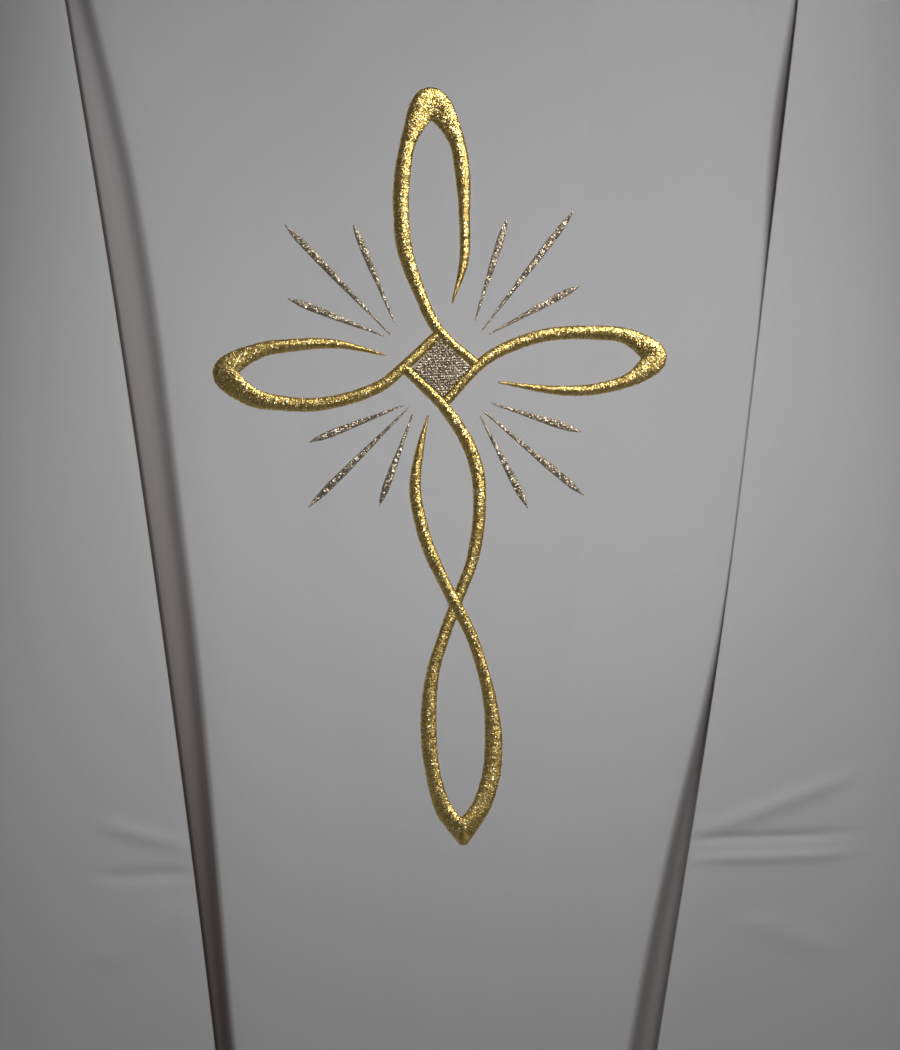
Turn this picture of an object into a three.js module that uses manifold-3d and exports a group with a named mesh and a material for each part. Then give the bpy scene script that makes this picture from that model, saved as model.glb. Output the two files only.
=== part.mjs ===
// Gothic chasuble, in millimetres, worn with the arms down. The wearer faces -Y and +Z is up.
// The neck points lie at z = 0, and a height h is counted down from them.
import * as THREE from "three";
import { mergeVertices } from "three/addons/utils/BufferGeometryUtils.js";
import Module from "manifold-3d";

const wasm = await Module();
wasm.setup();

// ---- Driving dimensions ----
const LENGTH = 1300; // neck point to the lowest point of the hem
const SIDE_REACH = 310; // centre line to the side edge
const SIDE_HEM = 620; // neck point down to the hem at the side edge
const CHEST_DEPTH = 140; // shoulder seam forward to the front
const BACK_DEPTH = 125; // shoulder seam back to the back
const CHEST_FALL = 240; // height over which the cloth rounds over from the shoulder seam
const SHOULDER_HALF = 205; // centre line to the shoulder tip
const SHOULDER_DROP = 50; // neck point down to the shoulder tip
const ARM_ROUND = 0.6; // how early the side edge swings out below the shoulder tip
const NECK_HALF = 95; // centre line to the neck point
const FRONT_NECK_DROP = 90;
const BACK_NECK_DROP = 25;

const CLOTH = 1.5; // thickness of a panel's solid
const FACING_CLOTH = 1; // thickness of a facing's, tape's or backing's solid
const CLEAR = 0.3; // gap between pieces that are sewn or laid together

// A side panel's folded edge leans in from the shoulder tip. After the run down, its foot is this
// far from the centre line, and a larger ease keeps it upright for longer at the top.
const LEFT_PLEAT = { foot: 45, run: 1150, ease: 2 };
const RIGHT_PLEAT = { foot: 110, run: 1200, ease: 1 };
const BACK_PLEAT = { foot: 95, run: 1200, ease: 1.3 };
const PLEAT_RECESS = 12; // middle panel's soft edge in from the side panel's folded edge
const PLEAT_STEP = 6; // depth of the middle panel's edge behind the side panel
const PLEAT_LAP = 45; // width of the middle panel hidden under the side panel
const STEP_START = 10; // heights below the shoulder tip at which the step starts and is full,
const STEP_FULL = 60;
const LAP_FULL = 260; // and at which the lap is full
const WING_START = 10; // shoulder tip down to the top of the side panels

const NECK_FACING = 55; // widths of the facings
const HEM_FACING = 60;
const BINDING_RADIUS = 3;
const BINDING_GAP = 1; // the roll's gap to the cut edge that it covers
const LOOP_WIDTH = 64; // hanger loop
const LOOP_DROP = 28;
const LOOP_TAPE = 5;
const LABEL_WIDTH = 40;
const LABEL_HEIGHT = 25;

const CROSS_BELOW_CHEST = 38; // upright cloth above the embroidery's backing
const THREAD = 1.2; // height of the embroidery above the cloth
const DIAMOND_HALF = 12.6; // half the diamond's diagonal
const RAY_HALF_WIDTH = 2.1;
const BACKING_MARGIN = 12; // embroidery backing beyond the cross
const BACKING_EDGE_GAP = 2; // and its edge from the soft edge of a pleat

// ---- Colours ----
const cloth = new THREE.MeshStandardMaterial({ color: 0xdedde2, roughness: 0.75, metalness: 0 });
const lining = new THREE.MeshStandardMaterial({ color: 0xd2d0d2, roughness: 0.85, metalness: 0 });
const gold = new THREE.MeshStandardMaterial({ color: 0xc9a53c, roughness: 0.35, metalness: 0.8 });
const champagne = new THREE.MeshStandardMaterial({ color: 0xb9a98a, roughness: 0.4, metalness: 0.7 });

const chasuble = new THREE.Group();

function addPiece(name, geometry, material) {
  const mesh = new THREE.Mesh(geometry, material);
  mesh.name = name;
  chasuble.add(mesh);
  return mesh;
}

// ---- Lines of the garment ----
const FRONT = {
  facing: -1,
  depth: CHEST_DEPTH,
  neckDrop: FRONT_NECK_DROP,
  pleats: { left: LEFT_PLEAT, right: RIGHT_PLEAT },
};
const BACK = {
  facing: 1,
  depth: BACK_DEPTH,
  neckDrop: BACK_NECK_DROP,
  pleats: { left: BACK_PLEAT, right: BACK_PLEAT },
};
const SIDES = { left: 1, right: -1 };

const clamp01 = (t) => Math.min(1, Math.max(0, t));
const lerp = THREE.MathUtils.lerp;
const smooth = THREE.MathUtils.smoothstep;

function shoulderLine(x) {
  return SHOULDER_DROP * clamp01((x - NECK_HALF) / (SHOULDER_HALF - NECK_HALF));
}

function topLine(face, x) {
  if (x >= NECK_HALF) return shoulderLine(x);
  return face.neckDrop * Math.sqrt(1 - (x / NECK_HALF) ** 2);
}

function hemLine(x) {
  return SIDE_HEM + (LENGTH - SIDE_HEM) * Math.sqrt(Math.max(0, 1 - (x / SIDE_REACH) ** 2));
}

function pleatEdge(face, side, h) {
  const { foot, run, ease } = face.pleats[side];
  const t = clamp01((h - SHOULDER_DROP) / run);
  return lerp(SHOULDER_HALF, foot, Math.sin((t * Math.PI) / 2) ** ease);
}

function sideEdge(h) {
  const t = clamp01((h - SHOULDER_DROP) / (SIDE_HEM - SHOULDER_DROP));
  return SHOULDER_HALF + (SIDE_REACH - SHOULDER_HALF) * t ** ARM_ROUND;
}

// Depth of the cloth from the shoulder seam's plane: it rounds over the shoulder, then wraps
// from the folded edge round to the side edge.
function clothDepth(face, side, x, h) {
  const fall = clamp01((h - shoulderLine(x)) / CHEST_FALL);
  const chest = face.depth * Math.sqrt(1 - (1 - fall) ** 2);
  const edge = pleatEdge(face, side, h);
  const wrap = clamp01((x - edge) / Math.max(sideEdge(h) - edge, CLEAR));
  return chest * Math.sqrt(1 - wrap ** 2);
}

// ---- Sheets: columns that run down the cloth, with rows across them ----
// A column gives its distance from the centre line, and how far it is set back, at a height.
function columnPoint(face, column, h) {
  const x = column.x(h);
  const depth = CLEAR + clothDepth(face, column.side, x, h) - column.back(h);
  return new THREE.Vector3(SIDES[column.side] * x, face.facing * depth, -h);
}

function settle(line, x) {
  let h = line(x(0));
  for (let turn = 0; turn < 30; turn += 1) {
    h = line(x(h));
  }
  return h;
}

// Rows are close together over the shoulder, one lies where the chest becomes upright, and the
// last two bound the hem facing.
const LOWER_ROWS = 5;

function columnHeights(top, column, topRows) {
  const rows = topRows.map((drop) => top + drop);
  const hem = settle(hemLine, column.x);
  rows.push(lerp(rows.at(-1), CHEST_FALL, 0.5));
  for (let row = 0; row <= LOWER_ROWS; row += 1) {
    rows.push(lerp(CHEST_FALL, hem - HEM_FACING, row / LOWER_ROWS));
  }
  rows.push(hem);
  return rows;
}

function inwardAt(face, columns, i, h) {
  const level = (k) => columnPoint(face, columns[THREE.MathUtils.clamp(k, 0, columns.length - 1)], h);
  const across = level(i + 1).sub(level(i - 1));
  const down = columnPoint(face, columns[i], h + 1).sub(columnPoint(face, columns[i], h - 1));
  return across.cross(down).normalize().multiplyScalar(-face.facing);
}

// Columns come in order of x. keep moves a point back to the sheet's own side of its seams.
function clothSheet(face, columns, keep) {
  const grid = columns.map((column) => column.rows.map((h) => columnPoint(face, column, h)));
  const inward = columns.map((column, i) => column.rows.map((h) => inwardAt(face, columns, i, h)));
  return { grid, inward, keep };
}

const wholeRange = (list) => [0, list.length - 1];

// The closed solid between two depths below a sheet's surface, over a range of columns and rows.
function layerSolid(sheet, from, to, columns = wholeRange(sheet.grid), rows = wholeRange(sheet.grid[0])) {
  const width = columns[1] - columns[0] + 1;
  const height = rows[1] - rows[0] + 1;
  const positions = [];
  for (const depth of [from, to]) {
    for (let i = columns[0]; i <= columns[1]; i += 1) {
      for (let j = rows[0]; j <= rows[1]; j += 1) {
        const point = sheet.grid[i][j].clone().addScaledVector(sheet.inward[i][j], depth);
        positions.push(...sheet.keep(point).toArray());
      }
    }
  }
  const at = (level, i, j) => level * width * height + i * height + j;
  const index = [];
  const quad = (a, b, c, d) => index.push(a, b, c, a, c, d);
  for (let i = 0; i < width - 1; i += 1) {
    for (let j = 0; j < height - 1; j += 1) {
      quad(at(0, i, j), at(0, i + 1, j), at(0, i + 1, j + 1), at(0, i, j + 1));
      quad(at(1, i, j), at(1, i, j + 1), at(1, i + 1, j + 1), at(1, i + 1, j));
    }
    quad(at(0, i + 1, 0), at(0, i, 0), at(1, i, 0), at(1, i + 1, 0));
    const last = height - 1;
    quad(at(0, i, last), at(0, i + 1, last), at(1, i + 1, last), at(1, i, last));
  }
  for (let j = 0; j < height - 1; j += 1) {
    quad(at(0, 0, j), at(0, 0, j + 1), at(1, 0, j + 1), at(1, 0, j));
    const last = width - 1;
    quad(at(0, last, j + 1), at(0, last, j), at(1, last, j), at(1, last, j + 1));
  }
  return closedGeometry(positions, index);
}

function closedGeometry(positions, index) {
  const geometry = new THREE.BufferGeometry();
  geometry.setAttribute("position", new THREE.Float32BufferAttribute(positions, 3));
  geometry.setIndex(signedVolume(positions, index) > 0 ? index : index.reverse());
  geometry.computeVertexNormals();
  return geometry;
}

function signedVolume(positions, index) {
  const corner = (k) => new THREE.Vector3().fromArray(positions, 3 * index[k]);
  let volume = 0;
  for (let k = 0; k < index.length; k += 3) {
    volume += corner(k).dot(corner(k + 1).cross(corner(k + 2)));
  }
  return volume;
}

// ---- Middle panels: neck, shoulders and the length of the garment, out to the side pleats ----
const NECK_COLUMNS = 6; // columns from the centre line to the neck point
const SHOULDER_COLUMNS = 3; // columns from the neck point to the pleat
const STEP_PROFILE = [[0.25, 0.4], [0.6, 1]]; // shares of the recess and of the step, at its columns
const MIDDLE_TOP_ROWS = [0, 1.2, 5, 13, 30, NECK_FACING];

function middleColumns(face, side) {
  const ridge = (h) => pleatEdge(face, side, h) - PLEAT_RECESS;
  const step = (h) => PLEAT_STEP * smooth(h - SHOULDER_DROP, STEP_START, STEP_FULL);
  const lap = (h) => (PLEAT_LAP + CLEAR) * smooth(h - SHOULDER_DROP, STEP_FULL, LAP_FULL) - CLEAR;
  const flat = (distance) => ({ side, x: (h) => (distance * ridge(h)) / ridge(0), back: () => 0 });
  const columns = [];
  for (let k = 0; k < NECK_COLUMNS; k += 1) {
    columns.push(flat(NECK_HALF * Math.sin((k * Math.PI) / 2 / NECK_COLUMNS)));
  }
  for (let k = 0; k <= SHOULDER_COLUMNS; k += 1) {
    columns.push(flat(lerp(NECK_HALF, ridge(0), k / SHOULDER_COLUMNS)));
  }
  for (const [out, fallen] of STEP_PROFILE) {
    columns.push({ side, x: (h) => ridge(h) + PLEAT_RECESS * out, back: (h) => step(h) * fallen });
  }
  columns.push({ side, x: (h) => pleatEdge(face, side, h) + lap(h), back: step });
  for (const column of columns) {
    const top = settle((x) => topLine(face, x), column.x);
    column.rows = columnHeights(top, column, MIDDLE_TOP_ROWS);
  }
  return columns;
}

function middleSheet(face) {
  const columns = [...middleColumns(face, "right").reverse(), ...middleColumns(face, "left").slice(1)];
  const keep = (point) => point.setY(face.facing * Math.max(CLEAR, face.facing * point.y));
  return clothSheet(face, columns, keep);
}

// ---- Side panels: from the folded edge round to the side edge, over the arm ----
const SIDE_COLUMNS = 6;
const SIDE_TOP_ROWS = [0, 10, 30];

function sideSheet(face, side) {
  const innerEdge = (h) => pleatEdge(face, side, h) + CLEAR;
  const columns = [];
  for (let k = 0; k <= SIDE_COLUMNS; k += 1) {
    const wrap = Math.sin(((k / SIDE_COLUMNS) * Math.PI) / 2);
    const column = { side, x: (h) => lerp(innerEdge(h), sideEdge(h), wrap), back: () => 0 };
    column.rows = columnHeights(SHOULDER_DROP + WING_START, column, SIDE_TOP_ROWS);
    columns.push(column);
  }
  if (side === "right") columns.reverse();
  const keep = (point) => {
    point.y = face.facing * Math.max(CLEAR, face.facing * point.y);
    point.x = SIDES[side] * Math.max(innerEdge(-point.z), SIDES[side] * point.x);
    return point;
  };
  return clothSheet(face, columns, keep);
}

const middles = { front: middleSheet(FRONT), back: middleSheet(BACK) };
const columnCount = middles.front.grid.length;
const centreColumn = (columnCount - 1) / 2;
const rowCount = middles.front.grid[0].length;
const facingTop = CLOTH + CLEAR;
const facingBottom = facingTop + FACING_CLOTH;

for (const [name, sheet] of Object.entries(middles)) {
  addPiece(`${name}_panel`, layerSolid(sheet, 0, CLOTH), cloth);
  const neckColumns = [centreColumn - NECK_COLUMNS - 1, centreColumn + NECK_COLUMNS + 1];
  const neckRows = [1, MIDDLE_TOP_ROWS.length - 1];
  const neckFacing = layerSolid(sheet, facingTop, facingBottom, neckColumns, neckRows);
  addPiece(`${name}_neck_facing`, neckFacing, lining);
  const hemRows = [rowCount - 2, rowCount - 1];
  const hemFacing = layerSolid(sheet, facingTop, facingBottom, undefined, hemRows);
  addPiece(`${name}_hem_facing`, hemFacing, lining);
}

for (const side of Object.keys(SIDES)) {
  for (const [name, face] of Object.entries({ front: FRONT, back: BACK })) {
    const sheet = sideSheet(face, side);
    const rows = sheet.grid[0].length;
    addPiece(`${side}_${name}_side_panel`, layerSolid(sheet, 0, CLOTH), cloth);
    const hem = layerSolid(sheet, facingTop, facingBottom, undefined, [rows - 2, rows - 1]);
    addPiece(`${side}_${name}_side_hem_facing`, hem, lining);
  }
}

// ---- Shoulder stay tapes, along the front edge of the shoulder seams ----
const TAPE_ROWS = [0, 1];

for (const [side, sign] of Object.entries(SIDES)) {
  const inner = centreColumn + sign * (NECK_COLUMNS + 2);
  const outer = centreColumn + sign * (NECK_COLUMNS + SHOULDER_COLUMNS);
  const columns = [Math.min(inner, outer), Math.max(inner, outer)];
  const tape = layerSolid(middles.front, facingTop, facingBottom, columns, TAPE_ROWS);
  addPiece(`${side}_shoulder_tape`, tape, lining);
}

// ---- Neck binding: a closed roll round the neckline ----
function bindingCentre(sheet, k) {
  const [edge, below] = sheet.grid[centreColumn + k];
  const angle = ((Math.abs(k) / NECK_COLUMNS) * Math.PI) / 2;
  const outOfCloth = edge.clone().sub(below).normalize().multiplyScalar(Math.cos(angle));
  outOfCloth.x -= Math.sign(k) * Math.sin(angle);
  const centre = edge.clone().addScaledVector(outOfCloth.normalize(), BINDING_RADIUS + BINDING_GAP);
  return Math.abs(k) === NECK_COLUMNS ? centre.setY(0) : centre;
}

function closedTube(centres, radius, sides) {
  const positions = [];
  const index = [];
  const count = centres.length;
  centres.forEach((centre, i) => {
    const tangent = centres[(i + 1) % count].clone().sub(centres[(i + count - 1) % count]).normalize();
    const across = new THREE.Vector3(0, 0, 1).cross(tangent).normalize();
    const up = tangent.clone().cross(across);
    for (let k = 0; k < sides; k += 1) {
      const turn = (2 * Math.PI * k) / sides;
      const point = centre.clone().addScaledVector(across, radius * Math.cos(turn));
      point.addScaledVector(up, radius * Math.sin(turn));
      positions.push(...point.toArray());
      const a = i * sides + k;
      const b = i * sides + ((k + 1) % sides);
      const c = ((i + 1) % count) * sides + ((k + 1) % sides);
      const d = ((i + 1) % count) * sides + k;
      index.push(a, b, c, a, c, d);
    }
  });
  return closedGeometry(positions, index);
}

const neckline = [];
for (let k = -NECK_COLUMNS; k < NECK_COLUMNS; k += 1) {
  neckline.push(bindingCentre(middles.front, k));
}
for (let k = NECK_COLUMNS; k > -NECK_COLUMNS; k -= 1) {
  neckline.push(bindingCentre(middles.back, k));
}
addPiece("neck_binding", closedTube(neckline, BINDING_RADIUS, 8), cloth);

// ---- Hanger loop and label, sewn to the back neck facing and hanging free ----
// Stands a flat shape, drawn in x and z, with its back in the plane y.
function standShape(shape, y, thickness, curveSegments = 8) {
  const settings = { depth: thickness, bevelEnabled: false, curveSegments };
  const geometry = new THREE.ExtrudeGeometry(shape, settings);
  return geometry.rotateX(Math.PI / 2).translate(0, y, 0);
}

function facingAnchor(row) {
  const inward = middles.back.inward[centreColumn][row];
  return middles.back.grid[centreColumn][row].clone().addScaledVector(inward, facingBottom + CLEAR);
}

function loopShape() {
  const half = LOOP_WIDTH / 2;
  const inner = half - LOOP_TAPE;
  const shape = new THREE.Shape();
  shape.moveTo(-half, 0);
  shape.bezierCurveTo(-half, -LOOP_DROP, half, -LOOP_DROP, half, 0);
  shape.lineTo(inner, 0);
  shape.bezierCurveTo(inner, LOOP_TAPE - LOOP_DROP, -inner, LOOP_TAPE - LOOP_DROP, -inner, 0);
  shape.closePath();
  return shape;
}

function labelShape() {
  const half = LABEL_WIDTH / 2;
  const corners = [[-half, -LABEL_HEIGHT], [half, -LABEL_HEIGHT], [half, 0], [-half, 0]];
  return new THREE.Shape(corners.map(([x, z]) => new THREE.Vector2(x, z)));
}

function hangPiece(name, shape, row) {
  const anchor = facingAnchor(row);
  addPiece(name, standShape(shape, anchor.y, FACING_CLOTH).translate(0, 0, anchor.z), lining);
}

hangPiece("hanger_loop", loopShape(), 2);
hangPiece("care_label", labelShape(), MIDDLE_TOP_ROWS.length - 1);

// ---- Embroidery: a cross of four looped strokes round a diamond, with rays between the arms ----
// A stroke's points are x, z and half width, from the centre of the cross.
const TOP_STROKE = [
  [6.5, 32, 0.4], [13.3, 53, 2.4], [14.6, 77, 2.8], [14.6, 95, 3.8], [11.8, 115, 4.2], [0, 132.5, 8],
  [-11, 116, 4.2], [-16, 94, 4.1], [-17, 78, 4], [-16, 60, 3.9], [-9.5, 38, 3.1], [-1.2, 19.2, 2.8],
  [15.6, 2.4, 2.6],
];
const LEFT_ARM_STROKE = [
  [27.7, -8.3, 0.4], [56.6, -13.6, 2.3], [73.5, -14.1, 2.8], [90.2, -11.1, 3.2], [98.5, -7.4, 4.4],
  [106.2, 0.7, 6.4], [93.9, 11.4, 4.1], [74.8, 14.6, 3.5], [51.2, 14, 3.2], [29.5, 7.3, 3], [18.4, 0.4, 2.7],
  [2.4, -15.6, 2.6],
];
const RIGHT_ARM_STROKE = [
  [-27.6, 7.6, 0.4], [-53.3, 14.4, 2.3], [-75.8, 14.6, 3.3], [-92.4, 12.4, 4], [-108.5, 2.6, 6.4],
  [-96.4, -9.9, 4.8], [-82.6, -13.8, 3.8], [-60.2, -15.3, 3.3], [-31.8, -8, 3], [-19.2, 1.2, 2.8],
  [-2.4, 15.6, 2.6],
];
const LOWER_STROKE_DOWN = [
  [-15.6, -2.4, 2.6], [0.4, -20, 2.9], [10.7, -37, 3.2], [15.5, -53, 3.4], [15.9, -68, 3.2], [14.2, -83, 3.2],
  [10.3, -98.6, 3], [3.9, -113.5, 2.9], [-4.4, -133, 3], [-10.7, -150.5, 3.2], [-13.8, -168, 3.8],
  [-14.6, -186, 4], [-12.6, -204, 3.6], [-7.9, -218, 4.2], [0.6, -231.5, 7.2],
];
const LOWER_STROKE_UP = [
  [0.6, -231.5, 7.2], [11.6, -218.3, 4.8], [15.9, -205, 4.5], [17.7, -187.6, 4.4], [17, -169.5, 3.5],
  [13.7, -151.3, 2.9], [8.5, -133.6, 2.9], [-4.3, -105.5, 3], [-10.6, -89.7, 3.2], [-14.4, -74.5, 3.1],
  [-16, -59, 2.9], [-12.7, -40, 2], [-7.9, -23.3, 0.4],
];
// A ray's points are x and z of its ends, from its inner end to its outer end.
const RAYS = {
  top_left_long: [[21, 18], [69.4, 75.6]],
  top_left_steep: [[17.6, 23], [36, 73.4]],
  top_left_flat: [[24.3, 15.9], [70.8, 38.3]],
  top_right_long: [[-25.2, 18], [-75.7, 75.3]],
  top_right_steep: [[-22.6, 23.4], [-41.2, 73.8]],
  top_right_flat: [[-28.4, 17.2], [-75.6, 38.2]],
  lower_left_long: [[19.1, -22], [68.7, -67.2]],
  lower_left_steep: [[18, -24.9], [40, -72]],
  lower_left_flat: [[24, -18.7], [68.6, -35.1]],
  lower_right_long: [[-17.3, -19], [-70, -67]],
  lower_right_steep: [[-15.6, -22.4], [-34.4, -67.7]],
  lower_right_flat: [[-19.7, -17.8], [-68, -34.2]],
};
// Shares of a ray's length and of its half width, from its inner end.
const RAY_OUTLINE = [[0, 0.15], [0.35, 0.6], [0.7, 1], [0.88, 0.8], [1, 0.1]];
const STROKE_STEPS = 3; // steps between two of a stroke's points

const crossPoints = [TOP_STROKE, LEFT_ARM_STROKE, RIGHT_ARM_STROKE, LOWER_STROKE_DOWN].flat();
const farthest = (distance) => Math.max(...crossPoints.map((point) => distance(point) + point[2]));
const reach = {
  left: farthest(([x]) => x),
  right: farthest(([x]) => -x),
  up: farthest(([, z]) => z),
  down: farthest(([, z]) => -z),
};
const frontPlane = -(CHEST_DEPTH + CLEAR);
const crossDrop = CHEST_FALL + CROSS_BELOW_CHEST + BACKING_MARGIN + reach.up;

function embroideryPiece(shape, back = frontPlane - CLEAR, thickness = THREAD) {
  return standShape(shape, back, thickness, 16).translate(0, 0, -crossDrop);
}

function crossing(a, b, c, d) {
  const first = b.clone().sub(a);
  const second = d.clone().sub(c);
  const turn = first.cross(second);
  const between = c.clone().sub(a);
  const s = between.cross(second) / turn;
  const t = between.cross(first) / turn;
  return s > 0 && s < 1 && t > 0 && t < 1 ? a.clone().addScaledVector(first, s) : null;
}

// At a tight turn the inner edge would cross itself: it goes straight on from where it crosses.
function withoutLoops(edge) {
  for (let i = 0; i < edge.length - 3; i += 1) {
    for (let j = edge.length - 2; j > i + 1; j -= 1) {
      const meeting = crossing(edge[i], edge[i + 1], edge[j], edge[j + 1]);
      if (meeting) return withoutLoops([...edge.slice(0, i + 1), meeting, ...edge.slice(j + 1)]);
    }
  }
  return edge;
}

function strokeEdges(points) {
  const vectors = points.map((point) => new THREE.Vector3(...point));
  const curve = new THREE.CatmullRomCurve3(vectors, false, "centripetal");
  const steps = (points.length - 1) * STROKE_STEPS;
  const left = [];
  const right = [];
  for (let k = 0; k <= steps; k += 1) {
    const { x, y, z: half } = curve.getPoint(k / steps);
    const along = curve.getTangent(k / steps);
    const across = new THREE.Vector2(-along.y, along.x).normalize().multiplyScalar(half);
    left.push(new THREE.Vector2(x, y).add(across));
    right.push(new THREE.Vector2(x, y).sub(across));
  }
  return [...withoutLoops(left), ...withoutLoops(right).reverse()];
}

function strokeGeometry(points) {
  return embroideryPiece(new THREE.Shape(strokeEdges(points)));
}

function toSolid(geometry) {
  geometry.deleteAttribute("normal");
  geometry.deleteAttribute("uv");
  const merged = mergeVertices(geometry);
  const mesh = new wasm.Mesh({
    numProp: 3,
    vertProperties: merged.attributes.position.array,
    triVerts: Uint32Array.from(merged.index.array),
  });
  return new wasm.Manifold(mesh);
}

function toGeometry(solid) {
  const { vertProperties, triVerts } = solid.getMesh();
  return closedGeometry(Array.from(vertProperties), Array.from(triVerts));
}

function rayGeometry([from, to]) {
  const start = new THREE.Vector2(...from);
  const ray = new THREE.Vector2(...to).sub(start);
  const across = new THREE.Vector2(-ray.y, ray.x).normalize().multiplyScalar(RAY_HALF_WIDTH);
  const side = (sign) => RAY_OUTLINE.map(([share, width]) =>
    start.clone().addScaledVector(ray, share).addScaledVector(across, sign * width));
  return embroideryPiece(new THREE.Shape([...side(-1), ...side(1).reverse()]));
}

const lowerHalves = [LOWER_STROKE_DOWN, LOWER_STROKE_UP].map((points) => toSolid(strokeGeometry(points)));
const lowerStroke = lowerHalves[0].add(lowerHalves[1]);
addPiece("gold_top_stroke", strokeGeometry(TOP_STROKE), gold);
addPiece("gold_left_stroke", strokeGeometry(LEFT_ARM_STROKE), gold);
addPiece("gold_right_stroke", strokeGeometry(RIGHT_ARM_STROKE), gold);
addPiece("gold_lower_stroke", toGeometry(lowerStroke), gold);
for (const [name, ends] of Object.entries(RAYS)) {
  addPiece(`ray_${name}`, rayGeometry(ends), champagne);
}

const diamond = new THREE.Shape([
  new THREE.Vector2(0, DIAMOND_HALF),
  new THREE.Vector2(-DIAMOND_HALF, 0),
  new THREE.Vector2(0, -DIAMOND_HALF),
  new THREE.Vector2(DIAMOND_HALF, 0),
]);
addPiece("diamond_fill", embroideryPiece(diamond), champagne);

// ---- Embroidery backing: an oval of stabiliser inside the front panel, round the whole cross ----
const BACKING_POINTS = 40;

// A point of the oval, kept between the soft edges of the two pleats.
function backingPoint(turn) {
  const width = (reach.left + reach.right) / 2 + BACKING_MARGIN;
  const height = (reach.up + reach.down) / 2 + BACKING_MARGIN;
  const x = width * Math.cos(turn);
  const z = (reach.up - reach.down) / 2 + height * Math.sin(turn);
  const side = x > 0 ? "left" : "right";
  const room = pleatEdge(FRONT, side, crossDrop - z) - PLEAT_RECESS - BACKING_EDGE_GAP;
  return new THREE.Vector2(SIDES[side] * Math.min(Math.abs(x), room), z);
}

const backing = new THREE.Shape();
for (let k = 0; k < BACKING_POINTS; k += 1) {
  const point = backingPoint((2 * Math.PI * k) / BACKING_POINTS);
  if (k === 0) backing.moveTo(point.x, point.y);
  else backing.lineTo(point.x, point.y);
}
addPiece("embroidery_backing", embroideryPiece(backing, frontPlane + facingBottom, FACING_CLOTH), lining);

export default chasuble;
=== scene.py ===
# A light gothic chasuble, worn with the arms down: white cloth with a pleat on each side of the front
# and the back, and a cross in gold satin stitch with fine rays on the front.
# Lengths are millimetres until a mesh is made. A drop is counted down from the neck points, x runs
# towards the wearer's left, and the wearer faces -Y.
import math

import bpy
import numpy as np
from mathutils import Matrix, Vector


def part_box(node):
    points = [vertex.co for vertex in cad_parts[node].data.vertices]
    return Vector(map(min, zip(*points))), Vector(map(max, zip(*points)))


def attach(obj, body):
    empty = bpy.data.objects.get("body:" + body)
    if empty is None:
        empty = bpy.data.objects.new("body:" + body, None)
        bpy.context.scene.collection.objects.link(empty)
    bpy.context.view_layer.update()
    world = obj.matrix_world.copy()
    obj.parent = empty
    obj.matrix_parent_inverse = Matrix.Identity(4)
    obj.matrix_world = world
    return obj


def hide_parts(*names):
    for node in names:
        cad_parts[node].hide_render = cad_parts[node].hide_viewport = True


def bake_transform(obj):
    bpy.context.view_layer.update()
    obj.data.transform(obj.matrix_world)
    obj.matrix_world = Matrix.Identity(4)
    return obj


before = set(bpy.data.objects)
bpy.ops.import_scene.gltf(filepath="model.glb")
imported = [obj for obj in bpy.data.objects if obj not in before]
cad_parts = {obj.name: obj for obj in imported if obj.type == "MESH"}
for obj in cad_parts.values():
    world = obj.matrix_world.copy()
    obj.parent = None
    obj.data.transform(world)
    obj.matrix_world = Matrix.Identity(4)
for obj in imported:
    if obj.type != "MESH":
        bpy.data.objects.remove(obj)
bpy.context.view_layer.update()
MM = 0.001

# ---- Camera ----
# It stands square to the front, level with the lower half of the cross, and is turned a little on
# its own axis, so the cross leans to the left.
CAMERA_DISTANCE = 1.3
VIEW_HEIGHT = 0.525
CAMERA_ROLL = math.radians(2.5)
BESIDE_CROSS = 0.0006
BELOW_CROSS = 0.0787
diamond_low, diamond_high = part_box("diamond_fill")
cross_centre = (diamond_low + diamond_high) / 2
camera_lens = bpy.data.cameras.new("front_camera")
camera_lens.sensor_width = 36
camera_lens.lens = camera_lens.sensor_width * CAMERA_DISTANCE / VIEW_HEIGHT
camera = bpy.data.objects.new("front_camera", camera_lens)
bpy.context.collection.objects.link(camera)
bpy.context.scene.camera = camera
turn_cos, turn_sin = math.cos(CAMERA_ROLL), math.sin(CAMERA_ROLL)
camera.matrix_world = Matrix((
    (turn_cos, turn_sin, 0, cross_centre.x + BESIDE_CROSS),
    (0, 0, -1, cross_centre.y - CAMERA_DISTANCE),
    (-turn_sin, turn_cos, 0, cross_centre.z - BELOW_CROSS),
    (0, 0, 0, 1),
))

# ---- Middle of the front and of the back ----
# One length of fine plain cloth each, cut out at the neck. At both sides it rolls over a soft edge
# and goes back into the pleat, where it runs on behind the side panel. The hem is turned up and
# machine stitched.
LENGTH = -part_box("front_panel")[0].z / MM
SIDE_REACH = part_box("left_front_side_panel")[1].x / MM
SIDE_HEM = 620
CHEST_DEPTH = 140
BACK_DEPTH = 125
CHEST_FALL = 240
SHOULDER_HALF = 205
SHOULDER_DROP = 50
ARM_ROUND = 0.6
NECK_HALF = 95
CLOTH = 0.5
SEAM_GAP = 0.3
PLEAT_DEPTH = 9
ROLL_WIDTH = 34
ROLL_DEPTH = 2.3
FALL_REACH = 10
HIDDEN_REACH = 6
COLUMN_PITCH = 3.6
ROW_PITCH = 4.6

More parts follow.
